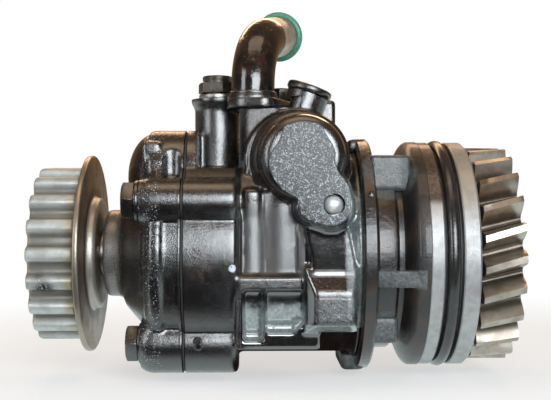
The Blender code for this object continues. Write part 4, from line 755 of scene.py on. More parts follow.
def no_zone(graph: Graph) -> Value:
    """A mask that is 0 all over."""
    return graph.x.ramp(BEYOND, BEYOND + 1.0)


@dataclass(frozen=True)
class GlossPaint(Finish):
    """Thick black gloss paint over a sand casting."""

    name: str = "gloss_paint"
    slot: str = "black_paint"
    sandy: Zone = no_zone
    worn: Zone = no_zone
    sleek: Zone = no_zone
    # Band where painted glints, pale specks that stand in for glinting sand, are strongest.
    glint_band: Zone = no_zone
    pale: Zone = no_zone
    dull: Zone = no_zone
    chip: Corner = (-48.1, -37.9, -3.2)
    runs: tuple[Corner, ...] = ((-60.2, -29.2, -28.6), (-59.9, -28.9, -30.2), (-35.6, -31.5, -24.0))
    sand_depth: float = 0.30

    def build(self) -> bpy.types.Material:
        """Deep black paint, grained by the sand below, with a little brown and painted glints."""
        graph = Graph(self.name)
        sandy, worn = self.sandy(graph), self.worn(graph)
        sleek, glint_band = self.sleek(graph), self.glint_band(graph)
        grit = graph.noise(2.7, 2.0, 0.6)
        coarse = graph.noise(0.95, 3.0, 0.6)
        grains = graph.noise(1.55, 2.5, 0.75)
        blotch = graph.noise(0.30, 4.0, 0.6)
        film = graph.noise(0.07, 4.0, 0.6).ramp(0.48, 0.68)
        colour = graph.blend(tint(0.0050, 0.0052, 0.0058), tint(0.021, 0.012, 0.007),
                             film * blotch.ramp(0.4, 0.6))
        sand = graph.blend(tint(0.004, 0.006, 0.008), tint(0.24, 0.30, 0.33),
                           grains.ramp(0.53, 0.63))
        colour = graph.blend(colour, sand, sandy * (0.75 + coarse.ramp(0.35, 0.6) * 0.25))
        # Painted glints: pale blue-white specks stand in for light glinting off the sand's grains,
        # on the sandy zones and the cover's band, and faintly all over.
        painted_glint = graph.cells(1.7).fall(0.14, 0.32) * coarse.ramp(0.48, 0.56)
        colour = graph.blend(colour, tint(0.62, 0.65, 0.70), painted_glint * (sandy + glint_band + 0.05))
        bare = worn * (0.25 + grit.ramp(0.36, 0.56) * 0.75)
        colour = graph.blend(colour, tint(0.30, 0.285, 0.265), bare)
        chip = graph.near(self.chip, 0.9, 1.5) * coarse.ramp(0.36, 0.44)
        colour = graph.blend(colour, tint(0.62, 0.68, 0.78), chip)
        colour = graph.blend(colour, tint(0.21, 0.25, 0.25),
                             self.pale(graph) * (0.7 + coarse.ramp(0.4, 0.6) * 0.3))
        run = highest(graph.near(self.runs[0], 1.1, 1.7),
                      *(graph.near(place, 1.0, 1.6) for place in self.runs[1:]))
        rough = 0.22 + blotch.ramp(0.40, 0.70) * 0.06 + sandy * 0.14 + bare * 0.14
        dull = self.dull(graph)
        rough = rough * (1.0 - sleek * 0.45) * (1.0 - run * 0.7) + dull * 0.45
        grain = (1.0 - sleek * 0.85) * (1.0 - run)
        wave = graph.noise(0.20, 2.0) * (0.45 - sleek * 0.2)
        height = wave + run * 1.6 + grain * (coarse * 0.10 + grit * 0.26 + grains * sandy * 1.1)
        graph.bump(height, self.sand_depth)
        graph.gloss(level=1.0, ior=1.65, coat_rough=0.08, coat_ior=1.7)
        coat = (1.0 - sandy) * (1.0 - dull) * (0.15 + sleek * 0.85)
        return graph.finish(base_color=colour, roughness=rough, metallic=bare * 0.8 + chip * 0.2,
                            coat_weight=coat)


@dataclass(frozen=True)
class MachinedCarrier(Finish):
    """Casting with a turned spigot: two bare turned rims, and black paint on the rest."""

    name: str = "carrier_metal"
    slot: str = "cast_metal"

    def build(self) -> bpy.types.Material:
        """Black paint up to the first rim and over its top, then turned metal with nicks, with a
        painted warm reflection on top and painted sheen on the paint.
        """
        graph = Graph(self.name)
        blotch = graph.noise(0.22, 4.0, 0.6)
        fine = graph.noise(1.5, 4.0, 0.65)
        coarse = graph.noise(0.85, 3.0, 0.6)
        lathe = graph.noise(2.6, 3.0, 0.6, (4.0, 0.06, 0.06))
        edge = (blotch - 0.5) * 12.0
        painted = graph.x.fall(17.45, 17.65)
        tongue = graph.z.ramp(17.0, 20.0) * (graph.x + edge * 0.35).fall(22.6, 23.2)
        groove = graph.radius().fall(39.2, 40.0) * graph.x.ramp(21.8, 22.2)
        lip = (graph.z + edge * 0.5).ramp(30.0, 38.0) * 0.35
        paint = highest(painted, tongue, groove * 0.7, lip)
        metal = graph.blend(tint(0.41, 0.42, 0.42), tint(0.32, 0.32, 0.32), blotch.ramp(0.40, 0.68))
        metal = graph.blend(metal, tint(0.55, 0.55, 0.55), lathe.ramp(0.5, 0.7) * 0.5)
        # Painted reflection: the turned metal turns warm beige towards the top, in place of the
        # warm room it reflects there.
        top = graph.z.ramp(8.0, 30.0)
        metal = graph.blend(metal, tint(0.52, 0.45, 0.36), top * 0.55)
        nicks = graph.cells(0.36).fall(0.05, 0.13) * fine.ramp(0.50, 0.6)
        metal = graph.blend(metal, tint(0.20, 0.18, 0.16), nicks * 0.6)
        film = graph.noise(0.10, 3.0).ramp(0.45, 0.62)
        black = graph.blend(tint(0.006, 0.006, 0.0068), tint(0.030, 0.017, 0.010), film * 0.7)
        brown = graph.blend(tint(0.075, 0.045, 0.028), tint(0.020, 0.013, 0.010),
                            coarse.ramp(0.40, 0.6))
        black = graph.blend(black, brown, tongue * (1.0 - painted))
        # Painted sheen: the paint turns a lighter grey-green on the top pad, the lower pad, the
        # lower ear and the rib, in place of the floor's reflection and the light on these faces.
        flat = graph.near((5.0, -27.5, 29.0), 8.5, 10.5)
        low = graph.near((3.8, -28.5, -25.0), 5.5, 7.5)
        ear = graph.z.ramp(-35.5, -36.5) * graph.x.ramp(-3.5, -5.0)
        rib = graph.z.ramp(-10.4, -9.6) * graph.z.fall(-4.2, -3.4) * graph.y.fall(-35.2, -34.9)
        side = graph.x.ramp(0.4, 0.8) * graph.x.fall(15.8, 16.4)
        grey = highest(flat * 0.75, low * 0.8, ear, rib * side)
        black = graph.blend(black, tint(0.078, 0.090, 0.092),
                            grey * (0.5 + coarse.ramp(0.4, 0.6) * 0.5))
        colour = graph.blend(metal, black, paint)
        shine = blotch * 0.04 - 0.30 + graph.x.ramp(8.5, 10.5) * 0.22
        rough = 0.46 + blotch * 0.10 + paint * shine + grey * 0.14
        height = (lathe * (1.0 - painted) * 0.22 + fine * (0.35 + painted * 0.35)
                  + coarse * painted * 0.6)
        height = height + graph.noise(0.25, 2.0) * painted * 0.8 - nicks * (1.0 - paint) * 0.5
        graph.bump(height, 0.20)
        graph.gloss(level=0.6, ior=1.55, coat_rough=0.08, coat_ior=1.6)
        return graph.finish(base_color=colour, roughness=rough, metallic=0.78 - paint * 0.76,
                            coat_weight=paint * (0.25 - grey * 0.25))


@dataclass(frozen=True)
class BareMetal(Finish):
    """Bare metal with turning marks or cloudy wear."""

    name: str = "bare_metal"
    slot: str = "bright_steel"
    light: Corner = (0.55, 0.54, 0.52)
    dark: Corner = (0.30, 0.28, 0.26)
    stain: Corner = (0.20, 0.13, 0.08)
    stain_share: float = 0.25
    gloss: float = 0.26
    cloud: float = 0.18
    marks: Corner = (3.0, 0.05, 0.05)
    mark_depth: float = 0.05
    # Radii over which painted shade darkens the colour towards the tooth valleys.
    valley: tuple[float, float] = (0.0, 0.001)
    metal: float = 1.0

    def build(self) -> bpy.types.Material:
        """Metal in two tones with stains, fine marks, a cloudy gloss and painted shade in the
        valleys.
        """
        graph = Graph(self.name)
        cloud = graph.noise(self.cloud, 4.0, 0.6)
        marks = graph.noise(2.4, 3.0, 0.6, self.marks)
        fine = graph.noise(1.6, 4.0, 0.7)
        colour = graph.blend(tint(*self.light), tint(*self.dark), cloud.ramp(0.38, 0.66))
        colour = graph.blend(colour, tint(*self.dark), marks.ramp(0.52, 0.74) * 0.4)
        stain = graph.noise(self.cloud * 1.7, 5.0, 0.65).ramp(0.54, 0.70) * self.stain_share
        colour = graph.blend(colour, tint(*self.stain), stain)
        # Painted shade: the colour turns dark brown towards the tooth roots, where shade falls
        # between the teeth.
        valley = graph.radius().fall(*self.valley)
        colour = graph.blend(colour, tint(0.045, 0.032, 0.024), valley * 0.92)
        rough = self.gloss + cloud * 0.16 + stain * 0.25 + fine * 0.06
        graph.bump(marks * 0.6 + fine * 0.5, self.mark_depth)
        return graph.finish(base_color=colour, roughness=rough, metallic=self.metal - stain * 0.5)


@dataclass(frozen=True)
class HubMetal(Finish):
    """Silver-grey sintered hub with flecks of black paint and one rust spot."""

    name: str = "hub_metal"
    slot: str = "alloy"

    def build(self) -> bpy.types.Material:
        """Satin grey metal, yellow towards the disc, with painted shade in the valleys."""
        graph = Graph(self.name)
        cloud = graph.noise(0.16, 4.0, 0.6)
        fine = graph.noise(1.4, 4.0, 0.7)
        # Painted shade: the colour turns dark brown towards the tooth valleys, where shade falls
        # between the teeth.
        valley = graph.radius().fall(28.2, 31.0)
        colour = graph.blend(tint(0.52, 0.55, 0.54), tint(0.40, 0.42, 0.41), cloud.ramp(0.40, 0.64))
        zinc = graph.x.ramp(-107.5, -103.0) * graph.noise(0.14, 3.0).ramp(0.36, 0.6)
        colour = graph.blend(colour, tint(0.44, 0.37, 0.22), zinc * 0.75)
        colour = graph.blend(colour, tint(0.13, 0.115, 0.09), valley * 0.80)
        end = graph.x.fall(-118.0, -116.6)
        colour = graph.blend(colour, tint(0.40, 0.34, 0.24), end * cloud.ramp(0.4, 0.6) * 0.5)
        flecks = graph.noise(0.34, 5.0, 0.7).ramp(0.655, 0.69)
        spot = graph.near((-112.0, -29.0, -11.2), 1.8, 5.5) * fine.ramp(0.34, 0.46)
        second = graph.near((-114.0, -28.0, -7.6), 0.8, 3.4) * fine.ramp(0.34, 0.48)
        dark = highest(flecks * 0.8, spot, second)
        colour = graph.blend(colour, tint(0.018, 0.014, 0.014), dark)
        rough = 0.42 + cloud * 0.12 - dark * 0.1
        graph.bump(fine * 0.7 + graph.noise(0.5, 3.0) * 0.4 + dark * 0.4, 0.11)
        return graph.finish(base_color=colour, roughness=rough, metallic=0.60 - dark * 0.5)


@dataclass(frozen=True)
class DiscMetal(Finish):
    """Brown-grey steel disc with a bright turned edge."""

    name: str = "disc_metal"
    slot: str = "dark_steel"

    def build(self) -> bpy.types.Material:
        """Dull steel with concentric marks, brown film, a bare rim, and a painted highlight and
        painted shade round the boss.
        """
        graph = Graph(self.name)
        cloud = graph.noise(0.12, 4.0, 0.6)
        fine = graph.noise(1.2, 4.0, 0.65)
        rings = graph.number("ShaderNodeTexNoise", {"noise_dimensions": "1D"}, {
            "W": graph.radius(), "Scale": 1.4, "Detail": 3.0})
        colour = graph.blend(tint(0.27, 0.205, 0.15), tint(0.15, 0.115, 0.09),
                             cloud.ramp(0.38, 0.64))
        colour = graph.blend(colour, tint(0.33, 0.27, 0.215), rings.ramp(0.5, 0.7) * 0.4)
        radius, right = graph.radius(), graph.x.ramp(-100.3, -100.0)
        # Painted highlight and painted shade on the right face: a light ring on the boss's crest
        # and a dark ring round it, in place of how light falls on the boss.
        crest_highlight = radius.ramp(18.0, 18.6) * radius.fall(20.9, 21.3) * right
        shade = radius.ramp(20.9, 21.4) * radius.fall(23.0, 25.5) * right
        colour = graph.blend(colour, tint(0.52, 0.50, 0.45), crest_highlight * 0.7)
        colour = graph.blend(colour, tint(0.045, 0.038, 0.034), shade * 0.75)
        rim = graph.radius().ramp(34.9, 35.5)
        colour = graph.blend(colour, tint(0.40, 0.35, 0.29), rim * 0.8)
        rough = 0.34 + cloud * 0.16 - rim * 0.08
        graph.bump(fine * 0.5 + rings * 0.6, 0.10)
        return graph.finish(base_color=colour, roughness=rough, metallic=0.85)


@dataclass(frozen=True)
class Rubber(Finish):
    """Moulded rubber."""

    name: str = "rubber"
    slot: str = "black_rubber"
    colour: Corner = (0.012, 0.012, 0.012)
    dust: Corner = (0.05, 0.045, 0.04)
    gloss: float = 0.15

    def build(self) -> bpy.types.Material:
        """Rubber with a little dust and a fine skin."""
        graph = Graph(self.name)
        cloud = graph.noise(0.3, 4.0, 0.6)
        colour = graph.blend(tint(*self.colour), tint(*self.dust), cloud.ramp(0.50, 0.75) * 0.5)
        graph.bump(graph.noise(1.6, 3.0), 0.05)
        graph.shader.inputs["Specular IOR Level"].default_value = 0.8
        return graph.finish(base_color=colour, roughness=self.gloss + cloud * 0.14)


@dataclass(frozen=True)
class PipeFinish(Finish):
    """Suction pipe, painted black up to its bare beige end."""

    name: str = "pipe_paint"
    slot: str = "black_paint"
    end: Corner = (-34.0, 13.2, 81.6)
    heading: Corner = (0.307, 0.929, 0.208)
    bare_length: float = 8.5

    def build(self) -> bpy.types.Material:
        """Black gloss paint with runs, ending in a ragged edge before the bare end."""
        graph = Graph(self.name)
        along = graph.node("ShaderNodeVectorMath", {"operation": "SUBTRACT"},
                           {0: graph.place, 1: self.end}).outputs[0]
        reach = graph.node("ShaderNodeVectorMath", {"operation": "DOT_PRODUCT"},
                           {0: along, 1: self.heading})
        length = Value(graph, reach.outputs["Value"])
        blotch = graph.noise(0.4, 4.0, 0.6)
        bare = (length + (blotch - 0.5) * 3.0).ramp(-self.bare_length - 0.5,
                                                    -self.bare_length + 0.5)
        runs = graph.noise(0.30, 3.0, 0.6)
        specks = graph.noise(0.55, 4.0, 0.7).ramp(0.62, 0.70)
        black = graph.blend(tint(0.0055, 0.0055, 0.006), tint(0.022, 0.011, 0.007),
                            runs.ramp(0.46, 0.66))
        black = graph.blend(black, tint(0.10, 0.045, 0.02), specks * 0.25)
        beige = graph.blend(tint(0.50, 0.43, 0.35), tint(0.36, 0.29, 0.22), blotch.ramp(0.4, 0.65))
        colour = graph.blend(black, beige, bare)
        rough = (0.10 + runs * 0.12) * (1.0 - bare) + bare * 0.42
        graph.bump(runs * 0.9 + specks * 0.4 + graph.noise(1.2, 3.0) * 0.12, 0.22)
        graph.gloss(level=0.6, ior=1.55, coat_rough=0.06, coat_ior=1.5)
        return graph.finish(base_color=colour, roughness=rough, metallic=bare * 0.55,
                            coat_weight=(1.0 - bare) * 0.5)


BENCH = Bench()


@dataclass
class CoverBolts:
    """Cover bolts and washers, and where they sit on both castings."""

    circle: float = 36.0
    first_angle: float = 32.0
    count: int = 4
    radii: tuple[float, float] = (7.9, 10.3)
    boss_face: float = -79.5
    flats: float = 12.0
    head: tuple[float, float] = (-85.5, -81.3)
    washer: tuple[float, float] = (-81.0, -79.8)
    washer_radius: float = 7.0
    shank: float = 3.9
    reach: float = -51.5
    turn: float = 24.0

    def places(self) -> list[Circle]:
        """Centres (y, z) of the bolts, each with the radius of its boss."""
        found = []
        for index in range(self.count):
            angle = math.radians(self.first_angle + 360.0 * index / self.count)
            found.append((-self.circle * math.cos(angle), self.circle * math.sin(angle),
                          self.radii[index % 2]))
        return found

    def head_shape(self) -> Piece:
        """Hex head with a turned chamfer, on its shank."""
        seat = Spot(roll=self.turn)
        corner = across_corners(self.flats)
        front, back = self.head
        form = [(front, 0.0), (front, self.flats / 2 - 0.5), (front + 0.9, corner + 0.2),
                (back + 1.0, corner + 0.2), (back + 1.0, 0.0)]
        bolt = BENCH.hexagonal("cover_bolt_form", self.flats, self.head, seat, form, Spot())
        BENCH.soften(bolt, 0.16, 2, 25.0)
        dimple = BENCH.turned("bolt_dimple", [(front - 1.0, 0.0), (front - 1.0, 3.4),
                                              (front + 0.15, 3.1), (front + 0.45, 0.0)], Spot())
        BENCH.carved(bolt, [dimple])
        shank = BENCH.rod("bolt_shank", back - 0.5, self.reach, self.shank, Spot())
        return BENCH.fused("cover_bolt_form", [bolt, shank])

    def washer_shape(self) -> Piece:
        """Flat washer with rounded edges."""
        front, back = self.washer
        washer = BENCH.ring("cover_washer_form", [
            (back, self.washer_radius), (front, self.washer_radius), (front, self.shank + 0.3),
            (back, self.shank + 0.3)], Spot())
        return BENCH.soften(washer, 0.2)

    def build(self, finish: Finish, washer_finish: Finish) -> None:
        """Model one bolt and one washer and copy them to every boss."""
        bolt, washer = self.head_shape(), self.washer_shape()
        for index, (y, z, _) in enumerate(self.places(), start=1):
            offset = Vector((0.0, y, z))
            twin = BENCH.copied(bolt, f"bolt_{index}", offset)
            BENCH.finished(twin, finish, Body.CASING, f"cover_bolt_{index}", angle=30.0)
            plate = BENCH.copied(washer, f"washer_{index}", offset)
            BENCH.finished(plate, washer_finish, Body.CASING, f"cover_washer_{index}")
        bpy.data.objects.remove(bolt, do_unlink=True)
        bpy.data.objects.remove(washer, do_unlink=True)


@dataclass
class PumpHousing:
    """The stepped black casting with its ports, valve boss, duct and pockets."""

    back: float = -5.1
    front: float = -64.5
    large_end: float = -46.3
    radius: float = 36.0
    large_radius: float = 38.0
    pilot: tuple[float, float] = (2.5, 23.8)
    lobe: tuple[float, float] = (-15.0, 18.0)
    near_y: float = -45.0
    shelf_z: float = 30.8
    ledge_z: float = -5.7
    block_y: float = -37.4
    grain: float = 0.68
    bolts: CoverBolts = field(default_factory=CoverBolts)

    def barrel(self) -> list[Piece]:
        """Stepped round body with its flat, shelf and pockets, and the ledge block."""
        body = BENCH.turned("housing_barrel", [
            (self.back + 0.6, 0.0), (self.back + 0.6, self.radius + 1.9),
            (self.back, self.radius + 2.5), (self.back - 0.8, self.radius + 2.3),
            (self.back - 4.4, self.radius), (self.large_end + 0.6, self.radius),
            (self.large_end, self.radius + 0.5), (self.large_end - 1.2, self.large_radius),
            (self.front - 2.0, self.large_radius), (self.front - 2.0, 0.0)], Spot(), FINER_TURN)
        flat = BENCH.block("near_flat", (self.large_end + 0.7, -42.0, self.ledge_z),
                           (-26.4, -31.8, 16.5))
        shelf = BENCH.block("top_shelf", (self.front + 3.4, -44.0, self.shelf_z),
                            (-45.0, 3.0, 44.0))
        BENCH.carved(body, [flat, shelf])
        ledge = BENCH.block("ledge_block", (-47.1, self.block_y, -30.5),
                            (-19.0, -18.0, self.ledge_z), 1.0)
        both = []
        for piece in (body, ledge):
            both.append(BENCH.carved(piece, self.pockets()))
        return both

    def pockets(self) -> list[Piece]:
        """The two pockets below the ledge: steep at the top, leaning inwards below."""
        out, top = self.block_y - 4.0, self.block_y + 3.4
        made = []
        for left, right, bottom, cut in ((-44.7, -37.9, -27.6, 0.0), (-37.3, -24.3, -24.7, 3.2)):
            bend = -10.8 + 0.4 * (bottom + 10.8)
            upper = [(x, y, z) for x in (left, right) for y, z in (
                (out, -10.8), (top, -10.8), (out, bend - 0.2), (top + 0.85, bend - 0.2))]
            lower = [(x, y, z) for x in (left, right) for y, z in ((out, bend), (top + 0.8, bend))]
            lower += [(x, y, bottom) for x in (left, right - cut) for y in (out, top + 3.4)]
            if cut:
                lower += [(right, out, bottom + cut), (right, top + 2.4, bottom + cut)]
            made += [BENCH.wrapped("pocket", upper), BENCH.wrapped("pocket", lower)]
        return made

    def bosses(self) -> list[Piece]:
        """Bolt bosses of the large section and the raised flange behind the cover's top."""
        made = [BENCH.turned("bolt_boss", [
            (self.large_end, 0.0), (self.large_end, radius - 2.0),
            (self.large_end - 0.6, radius - 0.6), (self.large_end - 2.0, radius),
            (self.front - 2.0, radius), (self.front - 2.0, 0.0)],
            Spot(0.0, y, z)) for y, z, radius in self.bolts.places()]
        made.append(BENCH.rod("top_flange", self.front - 2.0, self.front + 3.4, 16.6,
                              Spot(0.0, -6.0, 28.0), FINE_TURN))
        return made

    def columns(self) -> list[Piece]:
        """Pressure column, suction column, seat of the plate bolt and the lug behind them."""
        foot = self.shelf_z - 3.0
        pressure = BENCH.turned("pressure_column", [
            (58.6, 0.0), (58.6, 9.8), (55.7, 9.8), (53.2, 8.5), (foot, 8.4), (foot, 0.0)],
            PORT)
        suction = BENCH.hull("suction_column", [(SUCTION.x, SUCTION.y, 7.4), (-31.0, -12.8, 7.4)],
                             foot, 53.2, Spot(axis=Axis.UP))
        seat = BENCH.rod("bolt_seat", VALVE_LINE.z, 53.2, 5.2, PLATE_BOLT)
        lug = BENCH.block("rear_lug", (-22.0, 2.0, VALVE_LINE.z), (-10.7, 16.0, 57.0), 1.6)
        return [pressure, suction, seat, lug]

    def valve_forms(self) -> list[Piece]:
        """Valve body with its near boss, the shoulder, the lobe beside it and the tilted boss."""
        x, z = VALVE_LINE.x, VALVE_LINE.z
        body = BENCH.turned("valve_body", [
            (33.5, 0.0), (33.5, 16.9), (-27.0, 17.0), (-28.4, 15.8), (-29.0, 14.5), (-40.2, 14.5),
            (-42.6, 13.6), (-44.1, 11.6), (-44.2, 0.0)], VALVE_LINE)
        shoulder = BENCH.hull("valve_shoulder", [(x, -z, 16.9), (x - 2.3, -z, 17.1)], -23.0, 14.0,
                              Spot(axis=Axis.ACROSS), FINE_TURN)
        lobe_x, lobe_z = self.lobe
        circles = [(lobe_x - 7.4, 1.1 - lobe_z, 4.9), (lobe_x - 0.6, 0.7 - lobe_z, 7.3),
                   (lobe_x, -4.6 - lobe_z, 5.4), (lobe_x - 5.5, -7.4 - lobe_z, 5.2)]
        lobe = BENCH.hull("valve_lobe", circles, -43.9, -24.0, Spot(axis=Axis.ACROSS))
        skirt = BENCH.hull("lobe_skirt", [(a, b, radius + 0.9) for a, b, radius in circles],
                           -40.8, -26.0, Spot(axis=Axis.ACROSS))
        boss = BENCH.rod("tilted_boss", -19.0, 0.2, 7.5, TILTED)
        return [body, shoulder, lobe, skirt, boss]

    def valve_face(self) -> Piece:
        """Raised sandy face of the valve boss and its lobe, with an uneven edge."""
        corners = [
            (-30.9, 44.0), (-24.7, 45.5), (-18.8, 44.1), (-18.1, 41.5), (-15.9, 38.2),
            (-14.4, 35.2), (-14.8, 32.3), (-13.7, 28.6), (-11.4, 26.4), (-10.0, 23.5), (-9.3, 18.3),
            (-10.1, 13.9), (-13.5, 11.2), (-17.3, 10.8), (-21.0, 11.9), (-24.7, 13.4),
            (-26.5, 16.1), (-26.1, 19.8), (-31.3, 22.0), (-35.0, 26.4), (-36.4, 30.8),
            (-35.7, 35.2), (-32.8, 38.5), (-32.0, 41.8)]
        for _ in range(2):
            corners = [(a[0] * w + b[0] * (1 - w), a[1] * w + b[1] * (1 - w))
                       for a, b in zip(corners, corners[1:] + corners[:1]) for w in (0.75, 0.25)]
        outline = [(x, -z) for x, z in corners]
        face = BENCH.raised("valve_face", outline, [(-42.6, 0.0, 1.0), (self.near_y, 0.0, 1.0)],
                            Spot(axis=Axis.ACROSS))
        return BENCH.soften(face, 0.45, 3, 60.0)

    def near_side(self) -> list[Piece]:
        """Ribs above the ledge, the duct and the chamfered block."""
        ribs = []
        for middle, radius, top in ((-41.8, 7.8, 12.3), (-31.2, 13.2, 22.5)):
            ribs.append(BENCH.turned("rib", [(-7.7, 0.0), (-7.7, radius), (-5.0, radius),
                                             (top, radius - 1.6), (top, 0.0)],
                                     Spot(middle, radius - 35.2, axis=Axis.UP)))
        ribs.append(BENCH.block("rib", (-45.0, -33.2, 9.0), (-38.6, -22.0, 23.5), 1.8))
        slanted = ((-24.6, 12.0), (-21.0, -6.0), (-7.0, -6.0), (-10.6, 12.0))
        duct = BENCH.wrapped("duct", [(x, y, z) for x, z in slanted for y in (-39.6, -28.0)])
        wide = [(x, y, z) for x in (-24.2, -6.8) for z in (-24.3, -2.6) for y in (-38.4, -27.8)]
        block_face = [(x, -42.5, z) for x in (-20.6, -8.4) for z in (-21.4, -11.0)]
        knob = BENCH.wrapped("chamfered_block", wide + block_face)
        return [*ribs, duct, knob]

    def bores(self) -> list[Piece]:
        """Machined bores, cut after the skin so that their edges stay crisp."""
        return [
            BENCH.turned("shaft_bore", [
                (4.0, 0.0), (4.0, 15.3), (-11.0, 15.3), (-11.0, 9.8), (-34.5, 9.8), (-34.5, 28.4),
                (-66.0, 28.4), (-66.0, 0.0)], Spot()),
            BENCH.turned("valve_bore", [
                (36.0, 0.0), (36.0, 10.3), (19.3, 10.3), (19.3, 8.3), (-36.0, 8.3), (-36.0, 0.0)],
                VALVE_LINE),
            BENCH.turned("suction_bore", [
                (53.0, 0.0), (53.0, 6.3), (50.5, 6.3), (50.5, 4.2), (32.0, 4.2), (32.0, 0.0)],
                SUCTION, ROUGH_TURN),
            BENCH.rod("pressure_thread", 46.0, 58.0, 5.3, PORT),
            BENCH.rod("plate_thread", 42.7, 53.0, 2.5, PLATE_BOLT),
            BENCH.rod("tilted_thread", -9.3, 2.0, 5.3, TILTED),
            BENCH.rod("ball_seat", self.near_y - 1.0, self.near_y + 7.5, 3.6,
                      Spot(self.lobe[0], 0.0, self.lobe[1], Axis.ACROSS)),
            *[BENCH.rod("bolt_hole", -66.0, -50.5, 4.2, Spot(0.0, y, z))
              for y, z, _ in self.bolts.places()],
        ]

    def facings(self) -> list[Piece]:
        """Flat cuts that face off the columns, the tilted boss and the valve body."""
        return [
            BENCH.block("face_pressure", (-70.0, -8.0, 57.0), (-43.9, 22.0, 64.0)),
            BENCH.block("face_suction", (-50.0, -24.0, 51.7), (-24.6, 9.0, 56.0)),
            BENCH.rod("face_tilted", -1.6, 8.0, 12.0, TILTED),
            BENCH.block("face_valve", (-46.0, 32.0, 12.0), (-4.0, 38.0, 54.0)),
        ]

    def build(self, finish: Finish) -> Piece:
        """Join the forms, melt them into a skin, face it off and bore it."""
        forms = (self.barrel() + self.bosses() + self.columns() + self.valve_forms()
                 + self.near_side())
        casting = BENCH.fused("housing_casting", forms)
        BENCH.cast(casting, self.grain, 4)
        BENCH.faced(casting, self.front, keep_above=True)
        BENCH.carved(casting, self.facings())
        pilot = BENCH.turned("pilot", [
            (self.pilot[0], 0.0), (self.pilot[0], self.pilot[1] - 0.8),
            (self.pilot[0] - 0.8, self.pilot[1]), (self.back - 1.0, self.pilot[1]),
            (self.back - 1.0, 0.0)], Spot())
        BENCH.carved(casting, [pilot, self.valve_face()], "UNION")
        BENCH.carved(casting, self.bores())
        return BENCH.finished(casting, finish, Body.CASING, "pump_housing", angle=40.0)


@dataclass
class FrontCover:
    """The domed cover with its neck, bosses, raised top and thin back rim."""

    back: float = -65.7
    face: float = -79.0
    nose: float = -94.9
    radius: float = 38.0
    grain: float = 0.70
    bolts: CoverBolts = field(default_factory=CoverBolts)

    def forms(self) -> list[Piece]:
        """Dome, bosses, top lug, pad and the swelling over the shaft's far side."""
        dome = BENCH.turned("cover_dome", [
            (self.back + 2.0, 0.0), (self.back + 2.0, 36.8), (-72.0, 36.8), (-72.4, 38.0),
            (-75.6, 37.7), (-78.0, 35.0), (-79.0, 31.2), (-79.8, 28.0), (-81.8, 25.8),
            (-84.4, 23.0), (-87.4, 19.6), (-88.4, 17.0), (-89.5, 15.9), (-94.0, 15.8),
            (self.nose, 14.9), (self.nose, 0.0)], Spot(), FINER_TURN)
        made = [dome]
        for y, z, radius in self.bolts.places():
            made.append(BENCH.turned("cover_boss", [
                (self.back + 2.0, 0.0), (self.back + 2.0, radius), (-76.6, radius),
                (-78.4, radius - 0.5),
                (-80.6, min(radius, 9.0) - 0.6), (-80.6, 0.0)], Spot(0.0, y, z)))
        made.append(BENCH.turned("cover_lug", [
            (self.back + 2.0, 0.0), (self.back + 2.0, 16.6), (-77.5, 16.6), (self.face, 15.1),
            (self.face, 0.0)],
            Spot(0.0, -6.0, 28.0)))
        rounds = [(self.face + 1.0 - 10.2 * math.sin(a), 16.4 * math.cos(a))
                  for a in (math.radians(d) for d in range(0, 90, 9))]
        made.append(BENCH.turned("cover_swelling", [
            (self.face + 4.0, 0.0), (self.face + 4.0, 16.4), *rounds, (self.face - 9.2, 0.0)],
            Spot(0.0, 6.0, 28.0)))
        made.append(BENCH.block("cover_pad", (-80.2, -20.5, 27.0), (-73.6, 0.0, 40.0), 1.2))
        return made

    def bores(self) -> list[Piece]:
        """Spotfaces, bolt holes and the stepped shaft bore."""
        made = [BENCH.turned("cover_shaft_bore", [
            (-64.0, 0.0), (-64.0, 10.8), (-81.3, 10.8), (-81.3, 8.8), (-87.2, 8.8), (-87.2, 13.3),
            (-96.0, 13.3), (-96.0, 0.0)], Spot())]
        for y, z, _ in self.bolts.places():
            made.append(BENCH.rod("spotface", -95.0, self.bolts.boss_face, 8.6, Spot(0.0, y, z),
                                  FINE_TURN))
            made.append(BENCH.rod("cover_bolt_hole", -81.0, -64.0, 4.2, Spot(0.0, y, z)))
        return made

    def rim(self) -> Piece:
        """Thin rim along the joint, round the barrel, the bosses and the top."""
        rings = [BENCH.rod("rim", self.back - 0.9, self.back, self.radius, Spot(), FINER_TURN)]
        rings += [BENCH.rod("rim", self.back - 0.9, self.back, radius + 0.05, Spot(0.0, y, z),
                            FINE_TURN)
                  for y, z, radius in self.bolts.places()]
        rings.append(BENCH.rod("rim", self.back - 0.9, self.back, 16.6, Spot(0.0, -6.0, 28.0),
                               FINE_TURN))
        rim = BENCH.carved(rings[0], rings[1:], "UNION")
        BENCH.soften(rim, 0.25, 2, 40.0)
        bore = BENCH.rod("rim_bore", -64.0, -68.0, 30.0, Spot(), FINE_TURN)
        holes = [BENCH.rod("rim_hole", -64.0, -68.0, 4.4, Spot(0.0, y, z))
                 for y, z, _ in self.bolts.places()]
        return BENCH.carved(rim, [bore, *holes])

    def build(self, finish: Finish) -> Piece:
        """Melt the forms into a skin, face it off, bore it and add the rim."""
        forms = self.forms()
        pocket = BENCH.block("cover_pocket", (-72.8, -30.0, 26.4), (-66.4, -19.6, 46.0), 2.6)
        lug_index = len(self.bolts.places()) + 1
        BENCH.carved(forms[lug_index], [BENCH.copied(pocket, "cover_pocket_twin", Vector())])
        BENCH.carved(forms[0], [pocket])
        cover = BENCH.fused("cover_casting", forms)
        BENCH.cast(cover, self.grain, 6)
        BENCH.faced(cover, self.back, keep_above=False)
        BENCH.carved(cover, self.bores())
        cover = BENCH.fused("cover_casting", [cover, self.rim()])
        return BENCH.finished(cover, finish, Body.CASING, "front_cover", angle=40.0)


